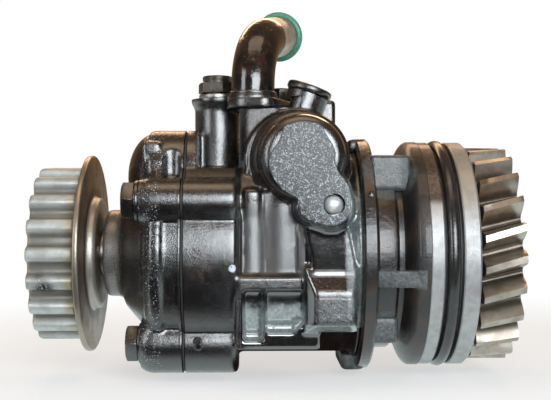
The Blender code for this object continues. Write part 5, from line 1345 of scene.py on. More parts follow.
@dataclass
class DriveEndCarrier:
    """Mounting flange, neck and turned spigot in one casting, with the spigot's O-ring."""

    grain: float = 0.6
    groove_middle: float = 25.3

    def turned_form(self) -> Piece:
        """Flange, neck and spigot, turned in one go."""
        return BENCH.ring("carrier_turned", [
            (34.3, 40.0), (33.6, 40.7), (28.9, 40.7), (28.5, 40.3), (28.5, 36.7), (22.1, 36.7),
            (22.1, 40.3), (21.7, 40.7), (17.9, 40.7), (17.6, 40.95), (14.6, 40.9), (13.6, 40.3),
            (12.6, 39.1), (11.9, 37.7), (11.2, 35.9), (10.8, 34.2), (10.4, 33.1), (9.9, 32.5),
            (8.2, 32.5), (7.6, 33.2), (7.1, 34.4), (6.4, 34.7), (1.2, 34.7), (0.4, 35.2),
            (0.0, 36.2), (0.0, 41.3), (-0.7, 42.0), (-4.1, 42.0), (-4.8, 41.3), (-4.8, 24.1),
            (2.8, 24.1), (2.8, 21.0), (14.0, 21.0), (14.0, 26.3), (29.45, 26.3), (29.45, 27.8),
            (31.55, 27.8), (31.55, 26.3), (33.5, 26.3), (34.3, 27.1)], Spot(), FINEST_TURN)

    def cast_forms(self) -> Piece:
        """Ears of the flange, and the pads and rib on the neck, melted soft."""
        pieces = [
            BENCH.block("ear_top", (-7.4, -11.0, 36.6), (-1.0, 11.0, 41.4), 1.4),
            BENCH.block("ear_bottom", (-10.2, -12.0, -41.7), (-1.0, 12.0, -34.8), 2.2),
            BENCH.block("neck_pad", (-1.2, -26.5, 22.5), (12.9, -11.0, 35.0), 1.2),
            BENCH.wrapped("neck_rib", [(x, y, z) for x, front in ((-1.0, -35.8), (15.9, -40.3))
                                       for y in (front, -29.0) for z in (-9.6, -4.0)]),
            BENCH.block("lower_pad", (-1.4, -28.6, -29.6), (8.4, -16.0, -20.2), 1.6),
            BENCH.rod("paint_drip", -36.9, -35.0, 1.3, Spot(-1.9, 0.0, 20.6, Axis.ACROSS), 24),
            BENCH.rod("paint_drip", -36.5, -35.0, 1.0, Spot(-1.8, 0.0, 21.9, Axis.ACROSS), 24),
        ]
        forms = BENCH.fused("carrier_cast", pieces)
        return BENCH.cast(forms, self.grain, 4)

    def build(self, finish: Finish, rubber: Finish) -> None:
        """Build the carrier and the O-ring in its groove."""
        turned = self.turned_form()
        carrier = BENCH.fused("carrier_casting", [turned, self.cast_forms()])
        BENCH.finished(carrier, finish, Body.CASING, "drive_end_carrier", angle=32.0)
        ring = BENCH.ring("spigot_ring", circle(self.groove_middle, 39.2, 2.2, 28), Spot(),
                          FINEST_TURN)
        BENCH.finished(ring, rubber, Body.CASING, "spigot_o_ring", angle=80.0)


@dataclass
class DriveGear:
    """Helical drive gear with its washer and nut."""

    teeth: int = 23
    module: float = 3.0
    helix: float = 15.0
    start: float = 36.0
    end: float = 50.0
    levels: int = 8

    def tooth(self) -> tuple[list[tuple[float, float]], float]:
        """Corners of one tooth from valley to valley, and the twist over its width."""
        lean = math.radians(self.helix)
        pitch_r = self.teeth * self.module / math.cos(lean) / 2
        pressure = math.atan(math.tan(math.radians(20.0)) / math.cos(lean))
        base_r = pitch_r * math.cos(pressure)
        tip_r, root_r = pitch_r + self.module, pitch_r - 1.25 * self.module
        at_pitch = math.pi / 2 / self.teeth + math.tan(pressure) - pressure
        flank = [(root_r, at_pitch * 1.42), (root_r + 0.25, at_pitch * 1.26)]
        for share in (0.0, 0.2, 0.4, 0.6, 0.8, 1.0):
            radius = base_r + (tip_r - base_r) * share
            roll = math.acos(min(1.0, base_r / radius))
            flank.append((radius, at_pitch - math.tan(roll) + roll))
        half_pitch = math.pi / self.teeth
        corners = [(root_r, -half_pitch)] + [(r, -a) for r, a in flank]
        corners += [(r, a) for r, a in reversed(flank)] + [(root_r, half_pitch)]
        middle = -math.pi / 2
        twist = math.degrees(math.tan(lean) / pitch_r * (self.end - self.start))
        return [(r * math.cos(middle + a), r * math.sin(middle + a)) for r, a in corners], twist

    def toothed_ring(self) -> Piece:
        """Raise the toothed outline with a twist."""
        points, twist = self.tooth()
        gear = BENCH.toothed("gear_teeth", points, self.teeth)
        BENCH.shift(self.end, 0.0, 1.0)
        step = (self.end - self.start) / self.levels
        for _ in range(self.levels):
            bpy.ops.mesh.extrude_region_move(TRANSFORM_OT_translate={"value": (0, 0, 0)})
            BENCH.shift(-step, -twist / self.levels, 1.0)
        BENCH.close()
        return BENCH.settle(gear, Spot())

    def build(self, finish: Finish, dark: Finish) -> None:
        """Build the gear, its washer and its nut."""
        gear = self.toothed_ring()
        boss = BENCH.rod("gear_boss", self.start + 1.0, 29.6, 15.5, Spot())
        BENCH.carved(gear, [boss], "UNION")
        recess = BENCH.turned("gear_recess", [(42.0, 0.0), (42.0, 22.4), (43.6, 24.0), (51.0, 24.0),
                                              (51.0, 0.0)], Spot())
        bore = BENCH.rod("gear_bore", 28.0, 43.0, 11.3, Spot())
        keyway = BENCH.block("gear_keyway", (31.0, -3.3, 0.0), (43.1, 3.3, 14.1))
        BENCH.carved(gear, [recess, bore, keyway])
        BENCH.soften(gear, 0.22, 2, 50.0)
        BENCH.finished(gear, finish, Body.SHAFT, "drive_gear", angle=38.0)
        washer = BENCH.ring("gear_end_washer",
                            [(43.9, 15.0), (42.3, 15.0), (42.3, 9.3), (43.9, 9.3)], Spot())
        BENCH.finished(BENCH.soften(washer, 0.25), dark, Body.SHAFT, "gear_washer")
        nut = hex_nut("gear_end_nut", 44.2, 49.4, 27.0, 9.3)
        BENCH.finished(nut, dark, Body.SHAFT, "gear_nut", angle=30.0)


def hex_nut(name: str, start: float, end: float, flats: float, bore: float) -> Piece:
    """Hex nut on the shaft line with turned chamfers at both ends.

    Args:
        name: Name of the new object.
        start: Lower end along the shaft.
        end: Upper end.
        flats: Width across flats.
        bore: Radius of its bore.

    Returns:
        The nut.
    """
    corner, lip = across_corners(flats), 0.07 * flats
    form = [(start, 0.0), (start, flats / 2 - 0.3), (start + lip, corner + 0.2),
            (end - lip, corner + 0.2), (end, flats / 2 - 0.3), (end, 0.0)]
    nut = BENCH.hexagonal(name, flats, (start, end), Spot(), form, Spot())
    hole = BENCH.turned("nut_bore", [
        (start - 1.0, 0.0), (start - 1.0, bore + 1.7), (start + 0.7, bore), (end - 0.7, bore),
        (end + 1.0, bore + 1.7), (end + 1.0, 0.0)], Spot())
    BENCH.carved(nut, [hole])
    return BENCH.soften(nut, 0.15, 2, 28.0)


@dataclass
class CouplingEnd:
    """Toothed hub, disc, nut and shaft at the front end."""

    teeth: int = 19
    tip: float = 31.6
    depth: float = 3.6
    phase: float = 2.0
    back: float = -102.5
    front: float = -118.4

    def tooth(self) -> list[tuple[float, float]]:
        """Corners of one rounded tooth from valley to valley."""
        pitch = math.tau / self.teeth
        root = self.tip - self.depth
        shape = [(0.0, 1.0), (0.05, 0.998), (0.10, 0.985), (0.145, 0.94), (0.18, 0.87),
                 (0.21, 0.76), (0.235, 0.62), (0.258, 0.46), (0.282, 0.30), (0.31, 0.17),
                 (0.35, 0.075), (0.40, 0.02), (0.45, 0.0), (0.5, 0.0)]
        half = [(share, root + self.depth * rise) for share, rise in shape]
        corners = [(-share, radius) for share, radius in reversed(half[1:])] + half
        middle = -math.pi / 2 - math.radians(self.phase)
        return [(r * math.cos(middle + pitch * s), r * math.sin(middle + pitch * s))
                for s, r in corners]

    def hub(self) -> Piece:
        """Raise the toothed outline with a rounded end."""
        hub = BENCH.toothed("hub_teeth", self.tooth(), self.teeth)
        heights = [(self.front, 0.962), (self.front + 0.25, 0.981), (self.front + 0.8, 0.994),
                   (self.front + 1.6, 1.0), (self.back - 0.5, 1.0), (self.back, 0.99)]
        last, scale = 0.0, 1.0
        for index, (height, size) in enumerate(heights):
            if index:
                bpy.ops.mesh.extrude_region_move(TRANSFORM_OT_translate={"value": (0, 0, 0)})
            BENCH.shift(height - last, 0.0, size / scale)
            last, scale = height, size
        BENCH.close()
        BENCH.settle(hub, Spot())
        boss = BENCH.rod("hub_boss", self.back - 1.0, -101.9, 18.0, Spot(), FINE_TURN)
        BENCH.carved(hub, [boss], "UNION")
        bore = BENCH.turned("hub_bores", [
            (-101.0, 0.0), (-101.0, 7.8), (-109.0, 7.8), (-109.0, 19.2), (-109.4, 20.3),
            (-110.4, 21.0), (-117.6, 21.0), (-119.0, 22.2), (-119.0, 0.0)], Spot())
        return BENCH.carved(hub, [bore])

    def build(self, hub_finish: Finish, disc_finish: Finish, steel: Finish, dark: Finish) -> None:
        """Build the hub, the disc, the nut and the shaft."""
        BENCH.finished(self.hub(), hub_finish, Body.SHAFT, "coupling_hub", angle=30.0)
        disc = BENCH.ring("coupling_plate", [
            (-96.8, 18.6), (-96.95, 19.4), (-97.4, 20.0), (-98.1, 20.3), (-99.2, 20.4),
            (-99.7, 21.0), (-99.7, 35.3), (-99.85, 35.65), (-100.2, 35.8), (-101.1, 35.8),
            (-101.45, 35.65), (-101.6, 35.3), (-101.6, 7.8), (-96.8, 7.8)], Spot(), FINER_TURN)
        BENCH.finished(disc, disc_finish, Body.SHAFT, "coupling_disc", angle=45.0)
        nut = hex_nut("coupling_end_nut", -115.5, -109.3, 19.0, 6.2)
        BENCH.finished(nut, dark, Body.SHAFT, "coupling_nut", angle=30.0)
        shaft = BENCH.turned("pump_shaft", [
            (49.4, 0.0), (49.4, 8.2), (48.6, 9.0), (41.5, 9.0), (41.5, 11.0), (29.3, 11.0),
            (29.3, 12.5), (14.0, 12.5), (14.0, 15.0), (8.0, 15.0), (8.0, 11.0), (-10.0, 11.0),
            (-10.7, 9.5), (-41.1, 9.5), (-41.1, 9.0), (-58.1, 9.0), (-58.1, 8.5), (-96.5, 8.5),
            (-96.5, 7.5), (-108.6, 7.5), (-108.6, 5.9), (-116.2, 5.9), (-116.9, 5.2),
            (-116.9, 0.0)], Spot())
        key = BENCH.block("shaft_keyway", (30.8, -3.3, 7.9), (40.4, 3.3, 13.8))
        BENCH.carved(shaft, [key])
        BENCH.finished(BENCH.soften(shaft, 0.12, 1, 50.0), steel, Body.SHAFT, "drive_shaft")


@dataclass
class SuctionLine:
    """Bent suction pipe with its green O-ring, the retaining plate and its bolt."""

    x: float = -41.5
    y: float = -9.5
    start: float = 54.7
    bend_start: float = 60.5
    bend_radius: float = 20.0
    bend: float = 78.0
    heading: float = 18.3
    end_length: float = 20.9
    radius: float = 7.8
    wall: float = 1.5

    def pipe(self) -> tuple[Piece, Matrix]:
        """Extrude a ring upwards, spin it round the bend and extrude its straight end.

        Returns:
            The pipe, and the frame of its open end.
        """
        BENCH.clear()
        bpy.ops.mesh.primitive_circle_add(vertices=64, radius=self.radius * MM, location=(0, 0, 0))
        pipe = bpy.context.active_object
        pipe.name = "suction_pipe"
        bpy.ops.object.mode_set(mode="EDIT")
        BENCH.everything()
        rise = (self.bend_start - self.start) * MM
        bpy.ops.mesh.extrude_edges_move(TRANSFORM_OT_translate={"value": (0, 0, rise)})
        bpy.ops.mesh.spin(steps=28, angle=math.radians(self.bend),
                          center=(self.bend_radius * MM, 0, rise),
                          axis=(0, -1, 0))
        lean = math.radians(self.bend)
        out = Vector((math.sin(lean), 0.0, math.cos(lean)))
        for share in (0.3, 0.7):
            step = out * (self.end_length * share * MM)
            bpy.ops.mesh.extrude_edges_move(TRANSFORM_OT_translate={"value": step})
        BENCH.close()
        bpy.ops.object.mode_set(mode="OBJECT")
        BENCH.apply(pipe, "SOLIDIFY", thickness=self.wall * MM, offset=-1.0, use_even_offset=True)
        turn = Matrix.Rotation(math.radians(90.0 - self.heading), 4, "Z")
        place = Matrix.Translation(Vector((self.x, self.y, self.start)) * MM) @ turn
        tip = Vector((self.bend_radius * (1 - math.cos(lean)), 0.0,
                      rise / MM + self.bend_radius * math.sin(lean)))
        end = Matrix.Translation((tip + out * self.end_length) * MM) @ Matrix.Rotation(lean, 4, "Y")
        BENCH.settle(pipe, place)
        return pipe, place @ end

    def build(self, paint: Finish, green: Finish, plate_paint: Finish, steel: Finish) -> None:
        """Build the pipe, its O-ring, the plate and the bolt."""
        pipe, end = self.pipe()
        groove = BENCH.ring("pipe_groove", [(-3.2, 9.0), (-6.6, 9.0), (-6.6, 6.7), (-3.2, 6.7)],
                            end)
        BENCH.carved(pipe, [groove])
        BENCH.soften(pipe, 0.25, 2, 50.0)
        BENCH.finished(pipe, paint, Body.CASING, "suction_elbow", angle=40.0)
        ring = BENCH.ring("pipe_ring", circle(-4.9, 8.3, 1.3, 20), end)
        BENCH.finished(ring, green, Body.CASING, "suction_o_ring", angle=80.0)
        self.plate(plate_paint, steel)

    def plate(self, paint: Finish, steel: Finish) -> None:
        """Retaining plate with the pipe's socket, and its bolt."""
        up, middle = Spot(axis=Axis.UP), Spot(self.x, self.y, axis=Axis.UP)
        corners = [(self.x, self.y, 9.4), (-38.0, -14.8, 5.0), (PLATE_BOLT.x, PLATE_BOLT.y, 5.2)]
        plate = BENCH.hull("plate_form", corners, 52.0, 55.7, up)
        BENCH.soften(plate, 0.7, 3, 40.0)
        neck = BENCH.turned("plate_neck", [
            (58.2, 0.0), (58.2, 8.5), (57.9, 8.75), (57.2, 8.8), (56.5, 9.1), (55.3, 9.1),
            (55.3, 0.0)], middle)
        BENCH.carved(plate, [neck], "UNION")
        BENCH.carved(plate, [
            BENCH.rod("plate_socket", 54.4, 60.0, 8.1, middle, FINE_TURN),
            BENCH.rod("plate_passage", 51.0, 55.4, 4.2, SUCTION),
            BENCH.rod("plate_bolt_hole", 51.0, 57.0, 2.5, PLATE_BOLT)])
        BENCH.finished(plate, paint, Body.CASING, "elbow_flange_plate")
        seat = replace(PLATE_BOLT, roll=20.0)
        form = [(56.0, 0.0), (56.0, 5.0), (60.0, 5.0), (60.8, 3.7), (60.8, 0.0)]
        bolt = BENCH.hexagonal("plate_bolt", 8.0, (56.0, 60.8), seat, form, seat)
        BENCH.soften(bolt, 0.14, 2, 25.0)
        shank = BENCH.rod("plate_bolt_shank", 43.7, 56.5, 2.2, seat)
        bolt = BENCH.fused("plate_bolt", [bolt, shank])
        BENCH.finished(bolt, steel, Body.CASING, "elbow_bolt", angle=30.0)


@dataclass
class Plugs:
    """Port plug with its washer, tilted plug, ball plug and the valve's end plug."""

    def port(self, steel: Finish, washer: Finish) -> None:
        """Hex plug of the pressure port: a hexagon with a round cap, on its sealing washer."""
        seat = PORT
        form = [(59.2, 0.0), (59.2, 6.4), (59.7, 7.7), (62.7, 7.7), (63.3, 6.6), (63.3, 0.0)]
        plug = BENCH.hexagonal("port_plug", 13.0, (59.2, 63.3), replace(seat, roll=46.0), form,
                               seat)
        BENCH.soften(plug, 0.15, 2, 25.0)
        cap = BENCH.turned("port_plug_cap", [
            (63.0, 0.0), (63.0, 5.5), (63.6, 5.4), (64.2, 5.6), (65.3, 5.7), (65.75, 5.4),
            (65.9, 4.9), (65.9, 0.0)], seat)
        shank = BENCH.rod("port_plug_shank", 47.0, 59.5, 5.0, seat)
        plug = BENCH.fused("port_plug", [plug, cap, shank])
        BENCH.finished(plug, steel, Body.CASING, "pressure_port_plug", angle=30.0)
        ring = BENCH.ring("port_seal", [(58.9, 7.0), (57.3, 7.0), (57.3, 5.3), (58.9, 5.3)], seat)
        BENCH.finished(BENCH.soften(ring, 0.3), washer, Body.CASING, "pressure_port_washer")

    def tilted(self, finish: Finish) -> None:
        """Tilted plug with a rolled rim and a hex socket."""
        seat = TILTED
        plug = BENCH.turned("tilted_plug", [
            (1.0, 0.0), (1.0, 6.1), (1.3, 6.6), (1.3, 7.4), (0.95, 7.95), (0.2, 8.1), (-0.7, 8.1),
            (-1.3, 7.7), (-1.3, 5.0), (-8.3, 5.0), (-8.3, 0.0)], seat)
        BENCH.carved(plug, [BENCH.hexagonal("tilted_socket", 6.0, (-0.3, 2.3), seat, (), seat)])
        BENCH.finished(BENCH.soften(plug, 0.15, 2, 45.0), finish, Body.CASING, "side_screw_plug")

    def valve_end(self, finish: Finish) -> None:
        """Far end plug of the valve bore, with its hex head."""
        seat = VALVE_LINE
        form = [(32.3, 0.0), (32.3, 14.0), (36.9, 14.0), (38.3, 11.6), (38.3, 0.0)]
        plug = BENCH.hexagonal("valve_plug", 24.0, (32.3, 38.3), seat, form, seat)
        BENCH.soften(plug, 0.2, 2, 25.0)
        dimple = BENCH.turned("valve_plug_dimple",
                              [(39.0, 0.0), (39.0, 8.6), (37.9, 8.0), (37.5, 0.0)], seat)
        BENCH.carved(plug, [dimple])
        shank = BENCH.turned("valve_plug_shank", [
            (32.8, 0.0), (32.8, 10.0), (28.6, 10.0), (28.6, 8.2), (25.4, 8.2), (25.4, 10.0),
            (19.7, 10.0), (19.7, 7.8), (17.3, 7.8), (17.3, 0.0)], seat)
        plug = BENCH.fused("valve_plug", [plug, shank])
        BENCH.finished(plug, finish, Body.CASING, "valve_end_plug", angle=30.0)

    def ball(self, finish: Finish) -> None:
        """Bright ball pressed into the lobe, with a small flat in its middle."""
        seat = Spot(-15.0, -41.15, 18.0, Axis.ACROSS)
        radius = 3.35
        arc = [(radius * math.cos(a), radius * math.sin(a))
               for a in (math.pi * k / 32 for k in range(33))]
        points = [(max(along, -radius + 0.12), max(r, 0.0)) for along, r in reversed(arc)]
        ball = BENCH.turned("ball_plug", [(points[0][0], 0.0), *points[1:-1], (radius, 0.0)], seat,
                            ROUGH_TURN)
        BENCH.finished(ball, finish, Body.CASING, "passage_ball_plug", angle=60.0)


@dataclass
class ValveSpring:
    """Coil spring behind the valve spool, which shortens as the spool slides towards it."""

    turns: int = 6
    coil: float = 5.6
    wire: float = 0.9
    travel: float = 8.0

    def build(self, finish: Finish) -> None:
        """Screw a round wire from the spool to the end plug."""
        low, high = (Vector(corner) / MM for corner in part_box("valve_spring"))
        points = [(self.wire * math.sin(a), self.coil + self.wire * math.cos(a))
                  for a in (math.tau * k / 10 for k in range(10))]
        spring = BENCH.outline("valve_coil", [*points, points[0]], across=False)
        BENCH.close()
        BENCH.clear()
        length = high.y - low.y
        BENCH.apply(spring, "SCREW", steps=24, render_steps=24, iterations=self.turns,
                    screw_offset=(length - 2 * self.wire) / self.turns * MM)
        BENCH.edit(spring)
        bpy.ops.mesh.fill_holes(sides=0)
        BENCH.close()
        BENCH.settle(spring, replace(VALVE_LINE, y=low.y + self.wire))
        BENCH.finished(spring, finish, Body.CASING, "valve_spring", angle=60.0)
        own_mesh(spring)


@dataclass
class InnerParts:
    """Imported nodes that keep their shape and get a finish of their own."""

    finishes: dict[str, Finish]

    def finish_of(self, node: str) -> Finish:
        """The finish whose key starts the node's name, or bright steel."""
        for key, finish in self.finishes.items():
            if node.startswith(key):
                return finish
        return BareMetal(name="inner_steel")

    def build(self, nodes: dict[str, Piece], replaced: set[str]) -> None:
        """Give each kept node its finish."""
        for node, piece in nodes.items():
            if node in replaced:
                continue
            material = self.finish_of(node).material()
            for slot in piece.material_slots:
                slot.material = material
            LOG.info("%s: kept, %s", node, material.name)


@dataclass
class Studio:
    """Pale floor, soft lamps, white surroundings and the camera at the photograph's angle."""

    floor_z: float = -44.6
    camera_y: float = -352.0
    camera_z: float = 19.5
    shift_x: float = 33.2
    roll: float = 1.1
    lens: float = 950.0 / PHOTO_WIDTH * 36.0

    def floor(self) -> None:
        """Pale floor that turns pure white away from the object."""
        BENCH.clear()
        bpy.ops.mesh.primitive_plane_add(size=8.0, location=(-0.03, 0.0, self.floor_z * MM))
        floor = bpy.context.active_object
        floor.name = "studio_floor"
        bpy.ops.object.transform_apply(location=True, rotation=True, scale=True)
        graph = Graph("floor_white")
        graph.finish(base_color=tint(0.93, 0.93, 0.93), roughness=0.9)
        graph.shader.inputs["Specular IOR Level"].default_value = 0.1
        path = graph.node("ShaderNodeLightPath", {}, {})
        camera = Value(graph, path.outputs["Is Camera Ray"])
        glossy = Value(graph, path.outputs["Is Glossy Ray"])
        # Painted shade: for glossy rays the floor shows dark brown under the pump's near side,
        # where its shadow falls, in front of the cover end and far in front, so the object's lower
        # faces reflect dark there.
        near = graph.y.fall(-52.0, -28.0) * graph.x.fall(-47.0, -42.0)
        away = graph.y.fall(-112.0, -84.0)
        below = graph.y.ramp(-38.0, -30.0) * graph.x.ramp(-48.0, -46.0) * graph.x.fall(-7.0, -4.0)
        front = highest(near, away, below)
        mirror = graph.blend(tint(0.86, 0.96, 0.96), tint(0.022, 0.014, 0.012), front)
        shown = graph.blend(tint(1, 1, 1), mirror, glossy)
        glow = graph.node("ShaderNodeEmission", {}, {"Color": shown, "Strength": 1.0})
        seen = camera + glossy
        reach = graph.number("ShaderNodeVectorMath", {"operation": "LENGTH"}, {0: graph.place})
        far = Value(graph, reach.socket.node.outputs["Value"]).ramp(110.0, 330.0, 0.55, 1.0)
        far = far * (1.0 - glossy) + glossy
        mixed = graph.node("ShaderNodeMixShader", {}, {
            0: seen.ramp(0.0, 1.0) * far, 1: graph.shader.outputs[0], 2: glow.outputs[0]})
        output = graph.tree.nodes["Material Output"]
        graph.tree.links.new(mixed.outputs[0], output.inputs["Surface"])
        floor.data.materials.append(graph.built)

    def surroundings(self) -> None:
        """White world for the camera, soft grey light, and a warm room for reflections."""
        world = bpy.data.worlds.new("studio_world")
        bpy.context.scene.world = world
        world.use_nodes = True
        tree = world.node_tree
        tree.nodes.clear()
        path = add_node(tree, "ShaderNodeLightPath", {}, {}).outputs
        place = add_node(tree, "ShaderNodeTexCoord", {}, {}).outputs["Generated"]
        way = add_node(tree, "ShaderNodeSeparateXYZ", {}, {0: place}).outputs
        lift = add_node(tree, "ShaderNodeMapRange", {}, {"Value": way["Z"], "From Min": -1.0})
        back = add_node(tree, "ShaderNodeMapRange", {},
                        {"Value": way["Y"], "From Min": 0.30, "From Max": 0.85})
        room = add_node(tree, "ShaderNodeValToRGB", {}, {0: lift.outputs[0]})
        stops = [(0.0, (0.05, 0.03, 0.02)), (0.50, (0.050, 0.036, 0.028)),
                 (0.62, (0.08, 0.065, 0.055)),
                 (0.74, (0.10, 0.060, 0.036)), (0.88, (0.24, 0.13, 0.065)),
                 (1.0, (0.16, 0.10, 0.055))]
        for position, colour in stops[2:]:
            room.color_ramp.elements.new(position)
        for element, (position, colour) in zip(room.color_ramp.elements, stops):
            element.position, element.color = position, tint(*colour)
        blend = add_node(tree, "ShaderNodeMix", {"data_type": "RGBA"}, {
            0: back.outputs[0], 6: room.outputs[0], 7: tint(0.30, 0.18, 0.09)})
        soft, mirror, white = (
            add_node(tree, "ShaderNodeBackground", {}, {"Color": colour}).outputs[0]
            for colour in (tint(0.26, 0.27, 0.28), blend.outputs[2], tint(1, 1, 1)))
        light = add_node(tree, "ShaderNodeMixShader", {},
                         {0: path["Is Glossy Ray"], 1: soft, 2: mirror})
        seen = add_node(tree, "ShaderNodeMixShader", {}, {
            0: path["Is Camera Ray"], 1: light.outputs[0], 2: white})
        add_node(tree, "ShaderNodeOutputWorld", {}, {"Surface": seen.outputs[0]})

    def lamp(self, name: str, place: Corner, aim: Corner, size: tuple[float, float], power: float,
             colour: Corner) -> None:
        """Add a soft lamp.

        Args:
            name: Name of the lamp.
            place: Where it stands, in metres.
            aim: Where it points, in metres.
            size: Its width and height, in metres.
            power: Its power in watts.
            colour: Its colour.
        """
        data = bpy.data.lights.new(name, "AREA")
        data.shape = "RECTANGLE"
        data.size, data.size_y = size
        data.energy = power
        data.color = colour
        lamp = bpy.data.objects.new(name, data)
        bpy.context.scene.collection.objects.link(lamp)
        way = Vector(aim) - Vector(place)
        lamp.matrix_world = (Matrix.Translation(place)
                             @ way.to_track_quat("-Z", "Y").to_matrix().to_4x4())

    def camera(self) -> None:
        """Camera at the photograph's viewing angle, with its small roll."""
        data = bpy.data.cameras.new("photo_camera")
        data.sensor_width = 36.0
        data.lens = self.lens
        data.clip_start = 0.01
        camera = bpy.data.objects.new("photo_camera", data)
        bpy.context.scene.collection.objects.link(camera)
        level = Matrix.Translation(Vector((0.0, self.camera_y, self.camera_z)) * MM)
        level = level @ Matrix.Rotation(math.pi / 2, 4, "X")
        move = (Matrix.Rotation(math.radians(self.roll), 4, "Z")
                @ Matrix.Translation((self.shift_x * MM, 0, 0)))
        camera.matrix_world = move.inverted() @ level
        bpy.context.scene.camera = camera

    def build(self) -> None:
        """Set up the floor, the surroundings, the lamps and the camera."""
        scene = bpy.context.scene
        scene.view_settings.view_transform = "Standard"
        self.floor()
        self.surroundings()
        middle = (-0.033, 0.0, 0.01)
        self.lamp("front_lamp", (0.08, -0.46, 0.13), middle, (0.32, 0.22), 2.3, (0.90, 0.96, 1.0))
        self.lamp("top_lamp", (-0.04, -0.16, 0.55), middle, (0.50, 0.26), 0.7, (1.0, 0.76, 0.52))
        self.lamp("left_lamp", (-0.42, -0.30, 0.13), middle, (0.16, 0.30), 0.7, (0.95, 0.98, 1.0))
        self.lamp("back_lamp", (-0.05, 0.45, 0.36), middle, (0.5, 0.12), 1.0, (1.0, 0.66, 0.40))
        self.camera()


def valve_zone(graph: Graph) -> Value:
    """Sandy zone of the housing: the valve boss's near face, and less so the block."""
    face = graph.y.fall(-44.85, -44.7)
    block = graph.y.fall(-42.1, -41.9) * graph.z.fall(-13.2, -12.4) * 0.30
    slope = graph.y.fall(-39.9, -39.7) * graph.z.ramp(-10.6, -9.8) * graph.z.fall(-1.0, -0.4) * 0.12
    return highest(face, block, slope)


def sleek_zone(graph: Graph) -> Value:
    """Smooth glossy zone of the housing: duct, pockets and the rim round the valve face."""
    duct = graph.x.ramp(-26.0, -24.6) * graph.y.ramp(-30.0, -34.0) * graph.x.fall(-11.5, -10.5)
    pockets = graph.z.ramp(-10.6, -11.2) * graph.x.ramp(-45.8, -45.2) * graph.y.ramp(-29.5, -30.5)
    front = graph.y.fall(-42.1, -41.9)
    return highest(duct, pockets) * (1.0 - front)


def pale_zone(graph: Graph) -> Value:
    """Where the pale floor shines back: the pockets' lower floors, the block's foot and the flare.

    The reflection is painted on as a pale colour.
    """
    inside = graph.x.ramp(-45.4, -44.9) * graph.y.ramp(-29.6, -30.6) * graph.y.ramp(-35.6, -34.9)
    level = graph.z + (graph.noise(0.28, 3.0) - 0.5) * 7.0
    pockets = level.ramp(-14.5, -19.0) * graph.z.ramp(-29.2, -28.4) * inside
    foot = (graph.y.ramp(-37.0, -38.2) * graph.z.ramp(-21.2, -22.0) * graph.z.ramp(-24.9, -24.4)
            * graph.x.ramp(-24.6, -23.6))
    flare = (graph.x.ramp(-11.0, -9.8) * graph.y.ramp(-29.0, -33.0) * graph.z.ramp(-20.0, -16.0)
             * 0.5)
    return highest(pockets, foot, flare)


def dull_zone(graph: Graph) -> Value:
    """Inside corners of the housing, where dirt takes the gloss away."""
    high = graph.z.ramp(-6.4, -5.8) * graph.z.fall(-3.6, -3.0) * graph.x.ramp(-24.0, -23.0)
    corner = high * graph.x.fall(-8.0, -7.0) * graph.y.ramp(-38.6, -39.0) * 0.35
    valleys = graph.x.distance(-38.1).fall(0.5, 1.1)
    edge = graph.x.distance(-24.9).fall(0.5, 1.0)
    valleys = (highest(valleys, edge) * graph.z.ramp(-7.0, -6.0) * graph.z.fall(16.0, 20.0)
               * graph.y.ramp(-28.0, -30.0))
    ribs = graph.x.ramp(-46.0, -45.5) * graph.x.fall(-24.6, -24.0) * graph.y.ramp(-32.0, -33.0)
    ribs = ribs * graph.z.ramp(-6.4, -5.6) * graph.z.fall(14.0, 20.0) * 0.35
    return highest(corner, valleys, ribs)


def cover_zone(graph: Graph) -> Value:
    """Sandy zone of the cover: everything in front of its smooth band."""
    return graph.x.fall(-73.0, -72.2) * graph.x.ramp(-81.5, -79.5) * 0.07


def painted_glint_zone(graph: Graph) -> Value:
    """Band of the cover with painted glints: pale specks that stand in for light glinting off the
    sand's grains.
    """
    return graph.x.fall(-73.0, -72.2) * graph.x.ramp(-82.5, -78.0) * 0.75


def nose_zone(graph: Graph) -> Value:
    """Bare zone of the cover: the neck round the shaft."""
    return graph.x.fall(-89.0, -88.2) * 0.7


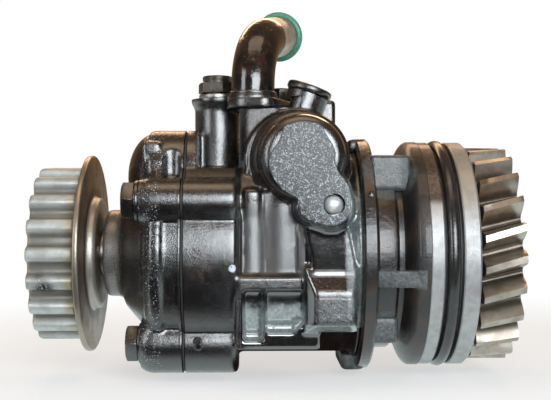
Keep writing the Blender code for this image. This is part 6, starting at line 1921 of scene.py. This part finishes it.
def main() -> None:
    """Build every sub-assembly in order and dress the kept nodes."""
    logging.basicConfig(level=logging.INFO, format="%(message)s")
    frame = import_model()
    paint = GlossPaint(name="housing_paint", sandy=valve_zone, sleek=sleek_zone, pale=pale_zone,
                       dull=dull_zone)
    cover_paint = GlossPaint(name="cover_paint", sandy=cover_zone, worn=nose_zone,
                             glint_band=painted_glint_zone)
    plain_paint = GlossPaint(name="plain_paint")
    steel = BareMetal(name="bright_steel_bare")
    # The gear's finish carries painted shade in its tooth valleys.
    gear = BareMetal(name="gear_steel", light=(0.50, 0.46, 0.40), dark=(0.36, 0.31, 0.26),
                     stain=(0.24, 0.17, 0.11),
                     stain_share=0.15, gloss=0.26, mark_depth=0.02, valley=(31.0, 36.0))
    dark = BareMetal(name="dark_steel_bare", slot="dark_steel", light=(0.15, 0.14, 0.125),
                     dark=(0.07, 0.06, 0.05),
                     gloss=0.30)
    washer = BareMetal(name="seal_alloy", slot="alloy", light=(0.55, 0.54, 0.52),
                       dark=(0.34, 0.32, 0.30))
    ball = BareMetal(name="ball_steel", light=(0.70, 0.72, 0.71), dark=(0.40, 0.41, 0.41),
                     stain_share=0.05,
                     gloss=0.30, cloud=0.5, mark_depth=0.16, metal=0.35)
    bronze = BareMetal(name="bush_bronze", slot="bronze", light=(0.52, 0.36, 0.18),
                       dark=(0.36, 0.23, 0.11))
    plates = BareMetal(name="cast_plate", slot="cast_metal", light=(0.40, 0.39, 0.38),
                       dark=(0.26, 0.25, 0.24), gloss=0.38)
    rubber = Rubber(name="seal_rubber")
    green = Rubber(name="green_ring", slot="green_rubber", colour=(0.050, 0.22, 0.145),
                   dust=(0.12, 0.30, 0.22),
                   gloss=0.34)
    fibre = Rubber(name="gasket_fibre", slot="fibre", colour=(0.014, 0.012, 0.010),
                   dust=(0.04, 0.035, 0.03), gloss=0.6)

    PumpHousing().build(paint)
    FrontCover().build(cover_paint)
    CoverBolts().build(plain_paint, plain_paint)
    DriveEndCarrier().build(MachinedCarrier(), rubber)
    DriveGear().build(gear, dark)
    CouplingEnd().build(HubMetal(), DiscMetal(), steel, dark)
    SuctionLine().build(PipeFinish(), green, plain_paint, dark)
    plugs = Plugs()
    plugs.port(dark, washer)
    plugs.tilted(plain_paint)
    plugs.valve_end(dark)
    plugs.ball(ball)
    ValveSpring().build(BareMetal(name="inner_steel"))
    replaced = {node for node, piece in frame["nodes"].items() if piece.hide_render}
    InnerParts({
        "cover_gasket": fibre, "shaft_bush": bronze, "bearing_cage": bronze,
        "front_shaft_seal": rubber,
        "rear_shaft_seal": rubber, "valve_plug_o_ring": rubber, "elbow_base_o_ring": rubber,
        "front_pressure_plate": plates, "rear_pressure_plate": plates, "bearing_circlip": dark,
    }).build(frame["nodes"], replaced)
    Studio().build()


if __name__ == "__main__":
    main()
